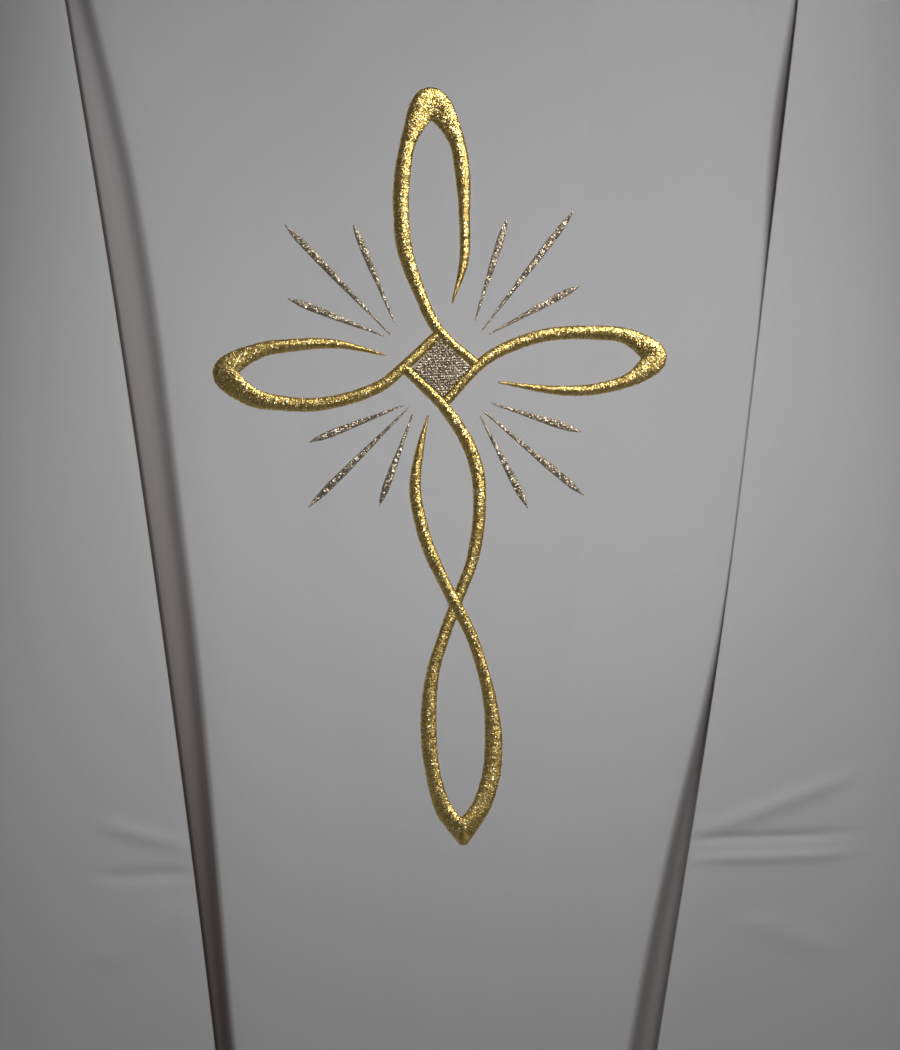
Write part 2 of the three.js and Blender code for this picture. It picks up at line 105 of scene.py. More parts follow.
# A pleat's folded edge starts at the shoulder tip and ends foot from the middle. It leans in over run,
# later with a larger ease, and bow pulls it in at chest height. Roll is how softly the middle's cloth
# turns in, line is 1 where a painted shadow line runs under the pressed edge, and shade and open are
# pairs of drop and amount: how strong the painted shade is inside the pleat, and how wide it stands open.
FRONT = {
    "facing": -1,
    "depth": CHEST_DEPTH,
    "neck_drop": 90,
    "wave_seed": 3,
    "left": {
        "foot": 45, "run": 1150, "ease": 2, "bow": 9, "roll": 0.55,
        "line": 0, "shade": [(200, 0.58), (1300, 0.62)],
        "open": [(50, 0), (180, 1), (250, 2), (285, 7.5), (330, 7.5), (385, 3), (425, 0.6), (530, 0.6),
                 (600, 5), (655, 11), (740, 15.5), (900, 17), (1300, 12)],
    },
    "right": {
        "foot": 110, "run": 1200, "ease": 1, "bow": 1.5, "roll": 1,
        "line": 1, "shade": [(250, 0.3), (500, 0.62), (700, 0.92), (1300, 0.95)],
        "open": [(50, 0), (150, 8), (256, 16), (300, 20.5), (360, 22), (414, 21.5), (478, 19.5),
                 (561, 18.5), (636, 15.5), (759, 10.7), (900, 12), (1300, 14)],
    },
}
BACK_PLEAT = {
    "foot": 95, "run": 1200, "ease": 1.3, "bow": 0, "roll": 0.8,
    "line": 0, "shade": [(200, 0.5), (1300, 0.8)],
    "open": [(50, 0), (200, 8), (500, 14), (900, 12), (1300, 16)],
}
BACK = {
    "facing": 1,
    "depth": BACK_DEPTH,
    "neck_drop": 25,
    "wave_seed": 11,
    "left": BACK_PLEAT,
    "right": BACK_PLEAT,
}
SIGN = {"left": 1, "right": -1}


def share(value, low, high):
    return np.clip((np.asarray(value, float) - low) / (high - low), 0, 1)


def eased(value, low, high):
    t = share(value, low, high)
    return t * t * (3 - 2 * t)


def through(pairs, drop):
    """A smooth line through pairs of drop and size."""
    drops, sizes = zip(*pairs)
    reach = (-36, -24, -12, 0, 12, 24, 36)
    return np.mean([np.interp(np.asarray(drop, float) + d, drops, sizes) for d in reach], axis=0)


def shoulder_line(x):
    """How far the shoulder seam has dropped at a distance x from the middle."""
    return SHOULDER_DROP * share(x, NECK_HALF, SHOULDER_HALF)


def top_line(face, x):
    neck = face["neck_drop"] * np.sqrt(np.clip(1 - (x / NECK_HALF) ** 2, 0, 1))
    return np.where(x < NECK_HALF, neck, shoulder_line(x))


def hem_line(x):
    return SIDE_HEM + (LENGTH - SIDE_HEM) * np.sqrt(np.clip(1 - (x / SIDE_REACH) ** 2, 0, 1))


def fold_edge(face, side, drop):
    """How far from the middle the side panel's pressed edge lies."""
    pleat = face[side]
    t = share(drop, SHOULDER_DROP, SHOULDER_DROP + pleat["run"])
    lean = np.sin(t * math.pi / 2) ** pleat["ease"]
    bow = pleat["bow"] * np.exp(-(((drop - 360) / 200) ** 2)) * eased(drop, SHOULDER_DROP, 200)
    return SHOULDER_HALF + (pleat["foot"] - SHOULDER_HALF) * lean - bow


def soft_edge(face, side, drop):
    """Where the middle's cloth starts to turn back into the pleat."""
    return fold_edge(face, side, drop) - through(face[side]["open"], drop) * eased(drop, 50, 120)


def side_edge(drop):
    t = share(drop, SHOULDER_DROP, SIDE_HEM)
    return SHOULDER_HALF + (SIDE_REACH - SHOULDER_HALF) * t**ARM_ROUND


def hidden_edge(face, side, drop):
    """Where the middle's cloth is joined on to the side's, out of sight behind the folded edge."""
    return fold_edge(face, side, drop) + 0.4 + HIDDEN_REACH * eased(drop, SHOULDER_DROP, 130)


def cloth_depth(face, side, x, drop):
    """How far the plain cloth lies in front of, or behind, the line of the shoulders."""
    fall = share(drop - shoulder_line(x), 0, CHEST_FALL)
    chest = face["depth"] * np.sqrt(1 - (1 - fall) ** 2)
    edge = fold_edge(face, side, drop)
    wrap = np.clip((x - edge) / np.maximum(side_edge(drop) - edge, SEAM_GAP), 0, 1)
    return chest * np.sqrt(1 - wrap**2)


def ripples(seed, u, v, count=9):
    """Smooth random waves of about unit size in u and v, between about -1 and 1."""
    dice = np.random.default_rng(seed)
    total = 0
    for _ in range(count):
        turn = dice.uniform(0, 2 * math.pi)
        pitch = dice.uniform(0.7, 1.5)
        phase = dice.uniform(0, 2 * math.pi)
        total = total + np.cos(2 * math.pi * pitch * (u * math.cos(turn) + v * math.sin(turn)) + phase)
    return total / math.sqrt(count)


def drape(face, x, drop):
    """How far the hanging cloth swells out, over its plain shape, at a signed x."""
    seed = face["wave_seed"]
    settled = eased(drop, 120, 320)
    slow = 0.9 * ripples(seed, x / 150, drop / 520) * settled
    fine = 0.16 * ripples(seed + 1, x / 38, drop / 130) * settled
    flare = eased(drop, 760, 1300)
    drift = 22 * ripples(seed + 2, x / 900, drop / 420)
    flutes = np.cos(2 * math.pi * (x + drift) / 92) + 0.4 * np.cos(2 * math.pi * (x + drift) / 51 + 1)
    return slow + fine + 4.5 * flare * flutes


def neck_pull(x, drop):
    """Faint strain that fans out from the neck and the shoulder seams."""
    near = np.exp(-(((drop - 130) / 90) ** 2))
    return 0.5 * near * np.cos(np.arctan2(x, drop + 40) * 26)


# A soft crease beside the pleat at chest height, where the cloth on its outer side stands higher.
CREASE_FOOT = 163.5
CREASE_DROP = 318


def chest_crease(x, drop):
    strength = 1 - eased(drop, 240, CREASE_DROP)
    return 1.9 * strength * eased(drop, 150, 230) * eased(x, CREASE_FOOT - 2, CREASE_FOOT + 2.5)


def soft_roll(face, side, x, drop):
    """How far the cloth turns back as it comes to the pleat's soft edge and goes in."""
    pleat = face[side]
    edge = soft_edge(face, side, drop)
    seam = hidden_edge(face, side, drop)
    width = ROLL_WIDTH * pleat["roll"]
    at_edge = ROLL_DEPTH * pleat["roll"] * eased(drop, SHOULDER_DROP, 190)
    near = np.clip((x - edge + width) / width, 0, 1)
    inside = np.clip((x - edge) / np.minimum(np.maximum(seam - edge, 0.1), FALL_REACH), 0, 1)
    fall = inside * inside * (3 - 2 * inside)
    return at_edge * near**2.2 + (pleat_depth(drop) - at_edge) * fall


def pleat_depth(drop):
    return 1.6 + (PLEAT_DEPTH - 1.6) * eased(drop, 60, 190)


def out_of_cloth(face, side, x, drop, back):
    """The point of the cloth at a distance x from the middle, set back by so much."""
    signed = SIGN[side] * x
    swell = drape(face, signed, drop) + neck_pull(signed, drop)
    if face is FRONT and side == "left":
        swell = swell + chest_crease(x, drop)
    plain = cloth_depth(face, side, x, drop)
    depth = np.maximum(plain + swell * share(plain, 0, 60) - back, 0.1)
    return np.stack([signed, face["facing"] * depth, -drop], axis=-1)


def settle(line, across):
    """The drop at which a column meets a line that runs across the cloth."""
    drop = 60.0
    for _ in range(40):
        drop = float(line(across(np.array(drop))))
    return drop


# Rows are crowded between these drops, where the cloth was creased in storage.
CROWD_FROM = (622, 642)
CROWD_TO = (732, 752)
CROWDING = 2.4
SHOULDER_ROWS = 66
CROWDED_ROWS = 48


def column_drops(top, hem, shoulder):
    """Drops down one column: close together over the shoulder and at the storage creases."""
    start = math.acos(1 - min(1.0, max(0.0, (top - shoulder) / CHEST_FALL)))
    straight_rows = round((LENGTH - CHEST_FALL) / ROW_PITCH) + CROWDED_ROWS
    over = shoulder + CHEST_FALL * (1 - np.cos(np.linspace(start, math.pi / 2, SHOULDER_ROWS)))
    fine = np.linspace(over[-1], hem, 3000)
    run = np.cumsum(1 + CROWDING * (eased(fine, *CROWD_FROM) - eased(fine, *CROWD_TO)))
    down = np.interp(np.linspace(run[0], run[-1], straight_rows), run, fine)
    return np.concatenate([over, down[1:]])


def middle_columns(face, side):
    """Columns from the middle to the hidden seam, each as its x and its set-back at a drop."""
    count = round((SHOULDER_HALF - 20) / COLUMN_PITCH)
    columns = []
    for k in range(count + 1):
        part = 1 - (1 - k / count) ** 1.12
        columns.append(lambda drop, part=part: part * soft_edge(face, side, drop))
    for part in (0.08, 0.17, 0.27, 0.38, 0.5, 0.65, 0.82, 1):
        columns.append(lambda drop, part=part: soft_edge(face, side, drop)
                       + part * (hidden_edge(face, side, drop) - soft_edge(face, side, drop)))
    return columns


def middle_grid(face, rows_of):
    """The middle's cloth as columns of points, from the right hidden seam to the left one."""
    grid = []
    for side in ("right", "left"):
        columns = middle_columns(face, side)
        points = []
        for across in columns:
            top = settle(lambda x: top_line(face, x), across)
            hem = settle(hem_line, across)
            drops = rows_of(top, hem, float(shoulder_line(across(np.array(top)))))
            x = across(drops)
            points.append(out_of_cloth(face, side, x, drops, soft_roll(face, side, x, drops)))
        grid += points[::-1] if side == "right" else points[1:]
    return np.array(grid)


def lengths(grid, axis):
    """Lengths along the cloth from its first column or row."""
    steps = np.linalg.norm(np.diff(grid, axis=axis), axis=-1)
    start = np.zeros_like(np.take(steps, [0], axis=axis))
    return np.concatenate([start, np.cumsum(steps, axis=axis)], axis=axis)


def new_piece(name, points, faces, material, marks):
    """A smooth mesh through points, with named marks at each point for its material."""
    mesh = bpy.data.meshes.new(name)
    mesh.from_pydata((points.reshape(-1, 3) * MM).tolist(), [], faces)
    mesh.polygons.foreach_set("use_smooth", np.ones(len(mesh.polygons), bool))
    for key, values in marks.items():
        vector = values.ndim == 3
        made = mesh.attributes.new(key, "FLOAT_VECTOR" if vector else "FLOAT", "POINT")
        made.data.foreach_set("vector" if vector else "value", values.astype(np.float32).ravel())
    mesh.materials.append(material)
    piece = bpy.data.objects.new(name, mesh)
    bpy.context.collection.objects.link(piece)
    return piece


def sheet_piece(name, grid, facing, material, marks):
    """A sheet through a grid of points, whose faces look out of the garment."""
    count, rows = grid.shape[:2]
    number = np.arange(count * rows).reshape(count, rows)
    faces = np.stack([number[:-1, :-1], number[:-1, 1:], number[1:, 1:], number[1:, :-1]], axis=-1)
    if facing > 0:
        faces = faces[..., ::-1]
    return new_piece(name, grid, faces.reshape(-1, 4).tolist(), material, marks)


def cloth_piece(name, grid, facing, material, thickness=CLOTH, tone=None, neck=None, inside=None):
    """A sheet with its thickness, marked with its threads' run, its edges, and its painted pleat shade and
    shadow line.
    """
    across, down = lengths(grid, 0), lengths(grid, 1)
    to_hem = down[:, -1:] - down
    along_hem = np.broadcast_to(across[:, -1:], down.shape)
    from_neck = down if neck is None else np.where(neck[:, None], down, 1000)
    marks = {
        "on_cloth": np.stack([across, down, np.zeros_like(down)], axis=-1) * MM,
        "by_edge": np.stack([along_hem, to_hem, from_neck], axis=-1) * MM,
        "pleat_shade_amount": np.zeros_like(down) if tone is None else tone,
        "at_fold": np.zeros_like(down) if inside is None else inside,
    }
    piece = sheet_piece(name, grid, facing, material, marks)
    body = piece.modifiers.new("thickness", "SOLIDIFY")
    body.thickness = thickness * MM
    body.offset = 0
    return piece


def new_material(name):
    material = bpy.data.materials.new(name)
    material.use_nodes = True
    return material, material.node_tree, material.node_tree.nodes["Principled BSDF"]


def add_node(tree, kind, settings=None, **inputs):
    """A shader node with its settings and inputs: each input is a value or another node's output."""
    node = tree.nodes.new(kind)
    for key, value in (settings or {}).items():
        setattr(node, key, value)
    for key, value in inputs.items():
        socket = node.inputs[int(key[1:])] if key[0] == "i" and key[1:].isdigit() else node.inputs[key]
        if isinstance(value, bpy.types.NodeSocket):
            tree.links.new(value, socket)
        else:
            socket.default_value = value
    return node


def maths(tree, operation, first, second=0.0, third=0.0):
    """The result of one sum on numbers."""
    made = add_node(tree, "ShaderNodeMath", {"operation": operation}, i0=first, i1=second, i2=third)
    return made.outputs[0]


def mark(tree, name, kind="Vector"):
    """A named mark that the mesh carries at each point."""
    return add_node(tree, "ShaderNodeAttribute", {"attribute_name": name}).outputs[kind]


def stretched_noise(tree, place, scale, detail=2.0):
    """Noise with its own scale across and along the cloth, in lumps a metre."""
    mapped = add_node(tree, "ShaderNodeMapping", Vector=place, Scale=scale).outputs[0]
    return add_node(tree, "ShaderNodeTexNoise", Vector=mapped, Scale=1.0, Detail=detail).outputs["Fac"]


def mixed(tree, amount, first, second):
    """A colour between two others, by an amount from 0 to 1."""
    made = add_node(tree, "ShaderNodeMix", {"data_type": "RGBA"}, i0=amount, i6=first, i7=second)
    return made.outputs[2]


def stitch_line(tree, along, distance, line, stitch=0.0028, gap=0.0008, width=0.00035):
    """1 on the stitches of a seam at one distance from an edge, and 0 elsewhere."""
    near = maths(tree, "COMPARE", distance, line, width)
    place = maths(tree, "FLOORED_MODULO", along, stitch + gap)
    return maths(tree, "MULTIPLY", near, maths(tree, "LESS_THAN", place, stitch))


# In a material, lengths are in metres. Stitches and the turned-up hem are so far from the edge.
# Painted shadow: a thin dark brown line on the middle's cloth just under each pleat's pressed edge.
PAINTED_EDGE_SHADOW = (0.075, 0.055, 0.04, 1)
STITCH_TINT = (0.9, 0.9, 0.9, 1)
HEM_STITCH = 0.024
HEM_TURNED = 0.0252
NECK_STITCH = 0.0075
# The mark at_fold is the distance inside the pressed edge, in millimetres, counted up from this.
AT_FOLD = 1000
EDGE_SHADOW_OFFSET = 0.6


def plain_cloth(name, light, shade, fold, roughness=0.78, weave=0.35):
    """Fine plain weave: slubs along the weft, a little unevenness, stitched edges, painted pleat shade and
    shadow line.
    """
    material, tree, shader = new_material(name)
    place = mark(tree, "on_cloth")
    weft = stretched_noise(tree, place, (260, 1900, 1))
    warp = stretched_noise(tree, place, (2100, 330, 1))
    clouds = stretched_noise(tree, place, (7, 5, 1), 3)
    threads = maths(tree, "MULTIPLY_ADD", weft, 0.65, maths(tree, "MULTIPLY", warp, 0.35))
    edge = add_node(tree, "ShaderNodeSeparateXYZ", Vector=mark(tree, "by_edge"))
    hem_stitch = stitch_line(tree, edge.outputs[0], edge.outputs[1], HEM_STITCH)
    neck_stitch = stitch_line(tree, edge.outputs[0], edge.outputs[2], NECK_STITCH)
    stitches = maths(tree, "MAXIMUM", hem_stitch, neck_stitch)
    tone = maths(tree, "MULTIPLY_ADD", clouds, 0.7, maths(tree, "MULTIPLY_ADD", threads, 0.9, -0.3))
    body = mixed(tree, tone, shade, light)
    # Painted shade inside a pleat: the cloth goes towards a darker, warmer colour as far as its mark says.
    folded = mixed(tree, mark(tree, "pleat_shade_amount", "Fac"), body, fold)
    # The painted shadow line lies a little past the pressed edge, where that edge would cast its shadow.
    from_line = maths(tree, "SUBTRACT", mark(tree, "at_fold", "Fac"), AT_FOLD + EDGE_SHADOW_OFFSET)
    off_line = maths(tree, "ABSOLUTE", from_line)
    near_line = maths(tree, "MAXIMUM", maths(tree, "MULTIPLY_ADD", off_line, -0.55, 1.2), 0.0)
    edge_shadow = maths(tree, "SMOOTH_MIN", near_line, 0.85, 0.15)
    edge_shadowed = mixed(tree, edge_shadow, folded, PAINTED_EDGE_SHADOW)
    sewn = mixed(tree, maths(tree, "MULTIPLY", stitches, 0.35), edge_shadowed, STITCH_TINT)
    tree.links.new(sewn, shader.inputs["Base Color"])
    turned_up = maths(tree, "COMPARE", edge.outputs[1], 0.0, HEM_TURNED)
    height = maths(tree, "MULTIPLY_ADD", threads, weave, maths(tree, "MULTIPLY", turned_up, 0.5))
    height = maths(tree, "SUBTRACT", height, maths(tree, "MULTIPLY", stitches, 0.9))
    bump = add_node(tree, "ShaderNodeBump", Height=height, Strength=0.35, Distance=0.0004)
    tree.links.new(bump.outputs[0], shader.inputs["Normal"])
    shader.inputs["Roughness"].default_value = roughness
    shader.inputs["Specular IOR Level"].default_value = 0.3
    shader.inputs["Sheen Weight"].default_value = 0.12
    shader.inputs["Sheen Roughness"].default_value = 0.4
    return material


WHITE_LIGHT = (0.70, 0.697, 0.712, 1)
WHITE_SHADE = (0.60, 0.594, 0.61, 1)
# Painted shade: the darker, warmer colour the cloth takes inside a pleat, where shade falls.
PAINTED_PLEAT_SHADE = (0.20, 0.156, 0.146, 1)
white_cloth = plain_cloth("white_cloth", WHITE_LIGHT, WHITE_SHADE, PAINTED_PLEAT_SHADE)


def pleat_shade_marks(face, grid):
    """How strong the painted shade in a pleat is, from 0 to 1, and the distance past the folded edge that
    places the painted shadow line.
    """
    tone, inside = [], []
    for column in grid:
        x, drop = np.abs(column[:, 0]), -column[:, 2]
        side = "left" if column[-1, 0] > 0 else "right"
        edge, fold = soft_edge(face, side, drop), fold_edge(face, side, drop)
        tone.append(share(x - edge, 0, 3.5) * through(face[side]["shade"], drop))
        inside.append((AT_FOLD + x - fold) * face[side]["line"])
    return np.array(tone), np.array(inside)


def in_neck(grid):
    """Which columns end in the neckline."""
    return np.abs(grid[:, 0, 0]) < NECK_HALF


for name, face in (("front", FRONT), ("back", BACK)):
    grid = middle_grid(face, column_drops)
    tone, inside = pleat_shade_marks(face, grid)
    piece = cloth_piece(f"{name}_middle_cloth", grid, face["facing"], white_cloth,
                        tone=tone, neck=in_neck(grid), inside=inside)
    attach(piece, "garment")
    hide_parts(f"{name}_panel")

# ---- Side panels ----
# Cloth of the same kind, pressed into a knife pleat: from the hidden seam it runs outwards behind
# the panel, folds forward, comes back to the pressed edge and turns out over the shoulder and arm.
LAP = 39
UNDER_DEPTH = 3.4
EDGE_LIFT = 1.4
PRESSED_RADIUS = 0.5
SIDE_TOP = SHOULDER_DROP + 1.5
# The panels were folded flat for storage: each crease goes from one x and drop to another, with its
# height and width.
STORE_CREASES = {
    "right": [(181, 651, 139, 664, 1.9, 4.2), (182, 679, 137, 677, -2, 3.2),
              (184, 724, 136, 692, 1.6, 4.5)],
    "left": [(117, 669, 171, 652, 2, 4.2), (118, 671, 171, 673, -2, 2.4), (118, 681, 171, 683, 1.8, 2.4),
             (140, 711, 172, 727, 1.7, 4)],
}


def store_creases(side, x, drop):
    """How high the storage creases stand at a place on the front's side panel."""
    height = 0
    for x0, drop0, x1, drop1, size, width in STORE_CREASES[side]:
        along = np.clip(((x - x0) * (x1 - x0) + (drop - drop0) * (drop1 - drop0))
                        / ((x1 - x0) ** 2 + (drop1 - drop0) ** 2), 0, 1.6)
        off = np.hypot(x - x0 - along * (x1 - x0), drop - drop0 - along * (drop1 - drop0))
        ends = share(along, -0.01, 0.12) * (1 - share(along, 1.1, 1.6))
        height = height + size * ends * np.exp(-((off / width) ** 2))
    return height


def side_folds(face, side, x, drop):
    """Long soft folds that hang from the shoulder tip, growing towards the arm and the hem."""
    edge = fold_edge(face, side, drop)
    part = np.clip((x - edge) / np.maximum(side_edge(drop) - edge, 1), 0, 1)
    grow = eased(part, 0.25, 0.8) * (1 - eased(part, 0.93, 1)) * eased(drop, 90, 420)
    shift = 0.5 if side == "left" else 0.1
    waves = np.cos(2 * math.pi * (1.7 * part + shift)) + 0.5 * np.cos(2 * math.pi * (3.1 * part - shift))
    return (2.2 + 4 * eased(drop, 300, 1000)) * grow * waves


def side_columns(face, side):
    """Columns along the folded cloth, from the hidden seam to the pressed edge: x and set-back."""
    def seam(drop):
        return hidden_edge(face, side, drop)

    def far(drop):
        lap = fold_edge(face, side, drop) + 0.8 + (HIDDEN_REACH + LAP) * eased(drop, 70, 330)
        return np.maximum(lap, seam(drop))

    def under(drop):
        return 0.9 + (UNDER_DEPTH - 0.9) * eased(drop, 60, 190)

    def radius(drop):
        return (pleat_depth(drop) - under(drop)) / 2

    columns = []
    for part in np.linspace(0, 1, 12):
        def out_x(drop, part=part):
            return seam(drop) + part * (far(drop) - seam(drop))
        columns.append((out_x, pleat_depth))
    for turn in np.linspace(0, math.pi, 7)[1:-1]:
        def bend_x(drop, turn=turn):
            return far(drop) + radius(drop) * math.sin(turn)

        def bend_back(drop, turn=turn):
            return under(drop) + radius(drop) + radius(drop) * math.cos(turn)
        columns.append((bend_x, bend_back))
    for part in np.linspace(0, 1, 14):
        def under_x(drop, part=part):
            near = fold_edge(face, side, drop) + PRESSED_RADIUS
            return far(drop) + part * (near - far(drop))

        def under_back(drop, part=part):
            return under(drop) + part * (2 * PRESSED_RADIUS - EDGE_LIFT - under(drop)) * part
        columns.append((under_x, under_back))
    for turn in np.linspace(0, math.pi, 6)[1:-1]:
        def edge_x(drop, turn=turn):
            return fold_edge(face, side, drop) + PRESSED_RADIUS * (1 - math.sin(turn))

        def edge_back(drop, turn=turn):
            return PRESSED_RADIUS * (1 + math.cos(turn)) - EDGE_LIFT + 0 * drop
        columns.append((edge_x, edge_back))
    return columns


def outer_columns(face, side):
    """Columns of the part that shows, from the pressed edge to the side edge: x and set-back."""
    count = 46
    columns = []
    for k in range(count + 1):
        part = math.sin((k / count) ** 0.9 * math.pi / 2)

        def outer_x(drop, part=part):
            edge = fold_edge(face, side, drop) + PRESSED_RADIUS
            return edge + part * (np.maximum(side_edge(drop), edge + 0.5) - edge)

        def outer_back(drop, part=part):
            return -EDGE_LIFT * (1 - part) + 0 * drop
        columns.append((outer_x, outer_back))
    return columns


def side_points(face, side, column, rows_of, outer):
    """The points down one column of a side panel, with the soft folds where it shows."""
    across, back = column
    hem = settle(hem_line, across)
    drops = rows_of(SIDE_TOP, hem, SHOULDER_DROP)
    x = across(drops)
    set_back = back(drops)
    if outer:
        set_back = set_back - side_folds(face, side, x, drops)
        if face is FRONT:
            clear = eased(x - fold_edge(face, side, drops), 0, 5)
            set_back = set_back - store_creases(side, x, drops) * clear
    return out_of_cloth(face, side, x, drops, set_back)


def side_grid(face, side, rows_of):
    """A side panel's points, and how many of its columns lie hidden in the pleat."""
    grid = [side_points(face, side, column, rows_of, False) for column in side_columns(face, side)]
    hidden = len(grid)
    grid += [side_points(face, side, column, rows_of, True) for column in outer_columns(face, side)]
    return np.array(grid), hidden


def bend_with_arm(piece):
    """Moves the piece's transform into its mesh points; nothing here makes it go up with the arm."""
    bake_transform(piece)


# The pleat's hidden layers take painted shade, which fades out over the last columns before the pressed
# edge.
HIDDEN_PLEAT_SHADE = 0.8
for side in SIGN:
    for name, face in (("front", FRONT), ("back", BACK)):
        grid, hidden = side_grid(face, side, column_drops)
        tone = np.zeros(grid.shape[:2])
        tone[:hidden - 6] = HIDDEN_PLEAT_SHADE
        tone[hidden - 6:hidden] = np.linspace(HIDDEN_PLEAT_SHADE, 0.1, 6)[:, None]
        facing = face["facing"] * SIGN[side]
        piece = cloth_piece(f"{side}_{name}_side_cloth", grid, facing, white_cloth, tone=tone,
                            neck=np.zeros(len(grid), bool))
        bend_with_arm(piece)
        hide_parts(f"{side}_{name}_side_panel")

# ---- Facings, seam tapes and hem facings ----
# Bands of thin lining cloth inside the neck and inside every hem, turned in and caught down, and a
# narrow woven tape that keeps each shoulder seam from stretching.
NECK_FACING = 55
HEM_FACING = 60
FACING_INSET = 2.2
HEM_INSET = 1.3
FACING_REACH = 128
LINING_LIGHT = (0.60, 0.585, 0.59, 1)
LINING_SHADE = (0.54, 0.525, 0.53, 1)
facing_cloth = plain_cloth("facing_cloth", LINING_LIGHT, LINING_SHADE, PAINTED_PLEAT_SHADE, 0.85, 0.5)


def set_in(grid, facing, inset):
    """The same grid moved towards the inside of the garment."""
    across, down = np.gradient(grid, axis=0), np.gradient(grid, axis=1)
    normal = np.cross(across, down)
    normal /= np.maximum(np.linalg.norm(normal, axis=-1, keepdims=True), 1e-9)
    return grid - facing * normal * inset


def hem_rows(top, hem, shoulder):
    """Drops down one column of a hem facing."""
    return np.linspace(hem - HEM_FACING, hem - 1, 14)


def neck_rows(top, hem, shoulder):
    """Drops down one column of a neck facing."""
    start = math.acos(1 - min(1.0, max(0.0, (top + 0.3 - shoulder) / CHEST_FALL)))
    end = math.acos(1 - min(1.0, (max(top, 12) + NECK_FACING - shoulder) / CHEST_FALL))
    return shoulder + CHEST_FALL * (1 - np.cos(np.linspace(start, end, 22)))


for name, face in (("front", FRONT), ("back", BACK)):
    grid = middle_grid(face, neck_rows)
    inside = grid[np.abs(grid[:, 0, 0]) < FACING_REACH]
    piece = cloth_piece(f"{name}_neck_lining", set_in(inside, face["facing"], FACING_INSET), face["facing"],
                        facing_cloth, neck=np.zeros(len(inside), bool))
    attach(piece, "garment")
    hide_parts(f"{name}_neck_facing")

    grid = middle_grid(face, hem_rows)
    piece = cloth_piece(f"{name}_hem_band", set_in(grid, face["facing"], HEM_INSET), face["facing"],
                        facing_cloth)
    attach(piece, "garment")
    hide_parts(f"{name}_hem_facing")

for side in SIGN:
    for name, face in (("front", FRONT), ("back", BACK)):
        columns = outer_columns(face, side)
        grid = np.array([side_points(face, side, column, hem_rows, True) for column in columns])
        facing = face["facing"] * SIGN[side]
        piece = cloth_piece(f"{side}_{name}_side_hem_band", set_in(grid, facing, HEM_INSET), facing,
                            facing_cloth, neck=np.zeros(len(grid), bool))
        bend_with_arm(piece)
        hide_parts(f"{side}_{name}_side_hem_facing")

TAPE_LIGHT = (0.66, 0.65, 0.65, 1)
TAPE_SHADE = (0.56, 0.55, 0.55, 1)
woven_tape = plain_cloth("woven_tape", TAPE_LIGHT, TAPE_SHADE, PAINTED_PLEAT_SHADE, 0.7, 0.9)


def tape_rows(top, hem, shoulder):
    """Drops across the narrow tape, just below the shoulder seam."""
    return shoulder + CHEST_FALL * (1 - np.cos(np.linspace(0.02, 0.115, 8)))


tape_grid = middle_grid(FRONT, tape_rows)
for side, sign in SIGN.items():
    at_top = sign * tape_grid[:, 0, 0]
    strip = tape_grid[(at_top > FACING_REACH - 20) & (at_top < SHOULDER_HALF - 15)]
    piece = cloth_piece(f"{side}_shoulder_seam_tape", set_in(strip, -1, FACING_INSET + 1), -1, woven_tape,
                        thickness=0.8, neck=np.zeros(len(strip), bool))
    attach(piece, "garment")
    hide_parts(f"{side}_shoulder_tape")

# ---- Neck binding ----
# A bias strip of the white cloth, rolled tightly over the cut edge of the neck and its facings and
# stitched down. The roll shows the slant of the bias and small puckers between the stitches.
ROLL_RADIUS = 3
ROLL_STEPS = 420
ROLL_SIDES = 16
ROLL_OUT = 2.2


def neckline_points(face, turns):
    """The middle of the roll along one half of the neckline, just outside the cloth's edge."""
    points = []
    for turn in turns:
        x, drop = NECK_HALF * math.sin(turn), face["neck_drop"] * math.cos(turn)
        side = "left" if x > 0 else "right"
        edge = out_of_cloth(face, side, abs(x), np.array(drop), 0.0)
        below = out_of_cloth(face, side, abs(x), np.array(drop + 3), 0.0)
        out = (edge - below) / np.linalg.norm(edge - below) * math.cos(turn)
        out = out - np.array([math.sin(turn), 0, 0])
        centre = edge + out / np.linalg.norm(out) * ROLL_OUT
        points.append(centre * (1, math.cos(turn) ** 0.25 if abs(x) > NECK_HALF - 0.5 else 1, 1))
    return points


half_turns = np.linspace(-math.pi / 2, math.pi / 2, ROLL_STEPS // 2 + 1)
neck_path = np.array(neckline_points(FRONT, half_turns[:-1]) + neckline_points(BACK, half_turns[:0:-1]))
for _ in range(3):
    neck_path = (np.roll(neck_path, 1, axis=0) + 2 * neck_path + np.roll(neck_path, -1, axis=0)) / 4
neck_along = np.roll(neck_path, -1, axis=0) - np.roll(neck_path, 1, axis=0)
neck_along /= np.linalg.norm(neck_along, axis=1, keepdims=True)
neck_across = np.cross((0, 0, 1), neck_along)
neck_across /= np.linalg.norm(neck_across, axis=1, keepdims=True)
neck_up = np.cross(neck_along, neck_across)
step = np.arange(ROLL_STEPS)[:, None]
around = np.linspace(0, 2 * math.pi, ROLL_SIDES, endpoint=False)[None, :]
fine_pucker = np.cos(step * 2 * math.pi / 7 + around)
wide_pucker = np.cos(step * 2 * math.pi / 20 - 2 * around)
pucker = 0.12 * fine_pucker + 0.08 * wide_pucker
roll = (ROLL_RADIUS + pucker)[..., None]
rings = neck_path[:, None] + roll * (np.cos(around)[..., None] * neck_across[:, None]
                                     + np.sin(around)[..., None] * neck_up[:, None])
level = 0 * step + 0 * around
roll_run = step * 1.3
roll_place = np.stack([roll_run + level, roll_run + around * 3, level], axis=-1) * MM
far_edge = np.stack([level, level + 1, level + 1], axis=-1)
number = np.arange(ROLL_STEPS * ROLL_SIDES).reshape(ROLL_STEPS, ROLL_SIDES)
after, beside = np.roll(number, -1, axis=0), np.roll(number, -1, axis=1)
roll_faces = np.stack([number, after, np.roll(after, -1, axis=1), beside], axis=-1).reshape(-1, 4)
binding = new_piece("rolled_neck_binding", rings, roll_faces.tolist(), white_cloth,
                    {"on_cloth": roll_place, "by_edge": far_edge})
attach(binding, "garment")
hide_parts("neck_binding")

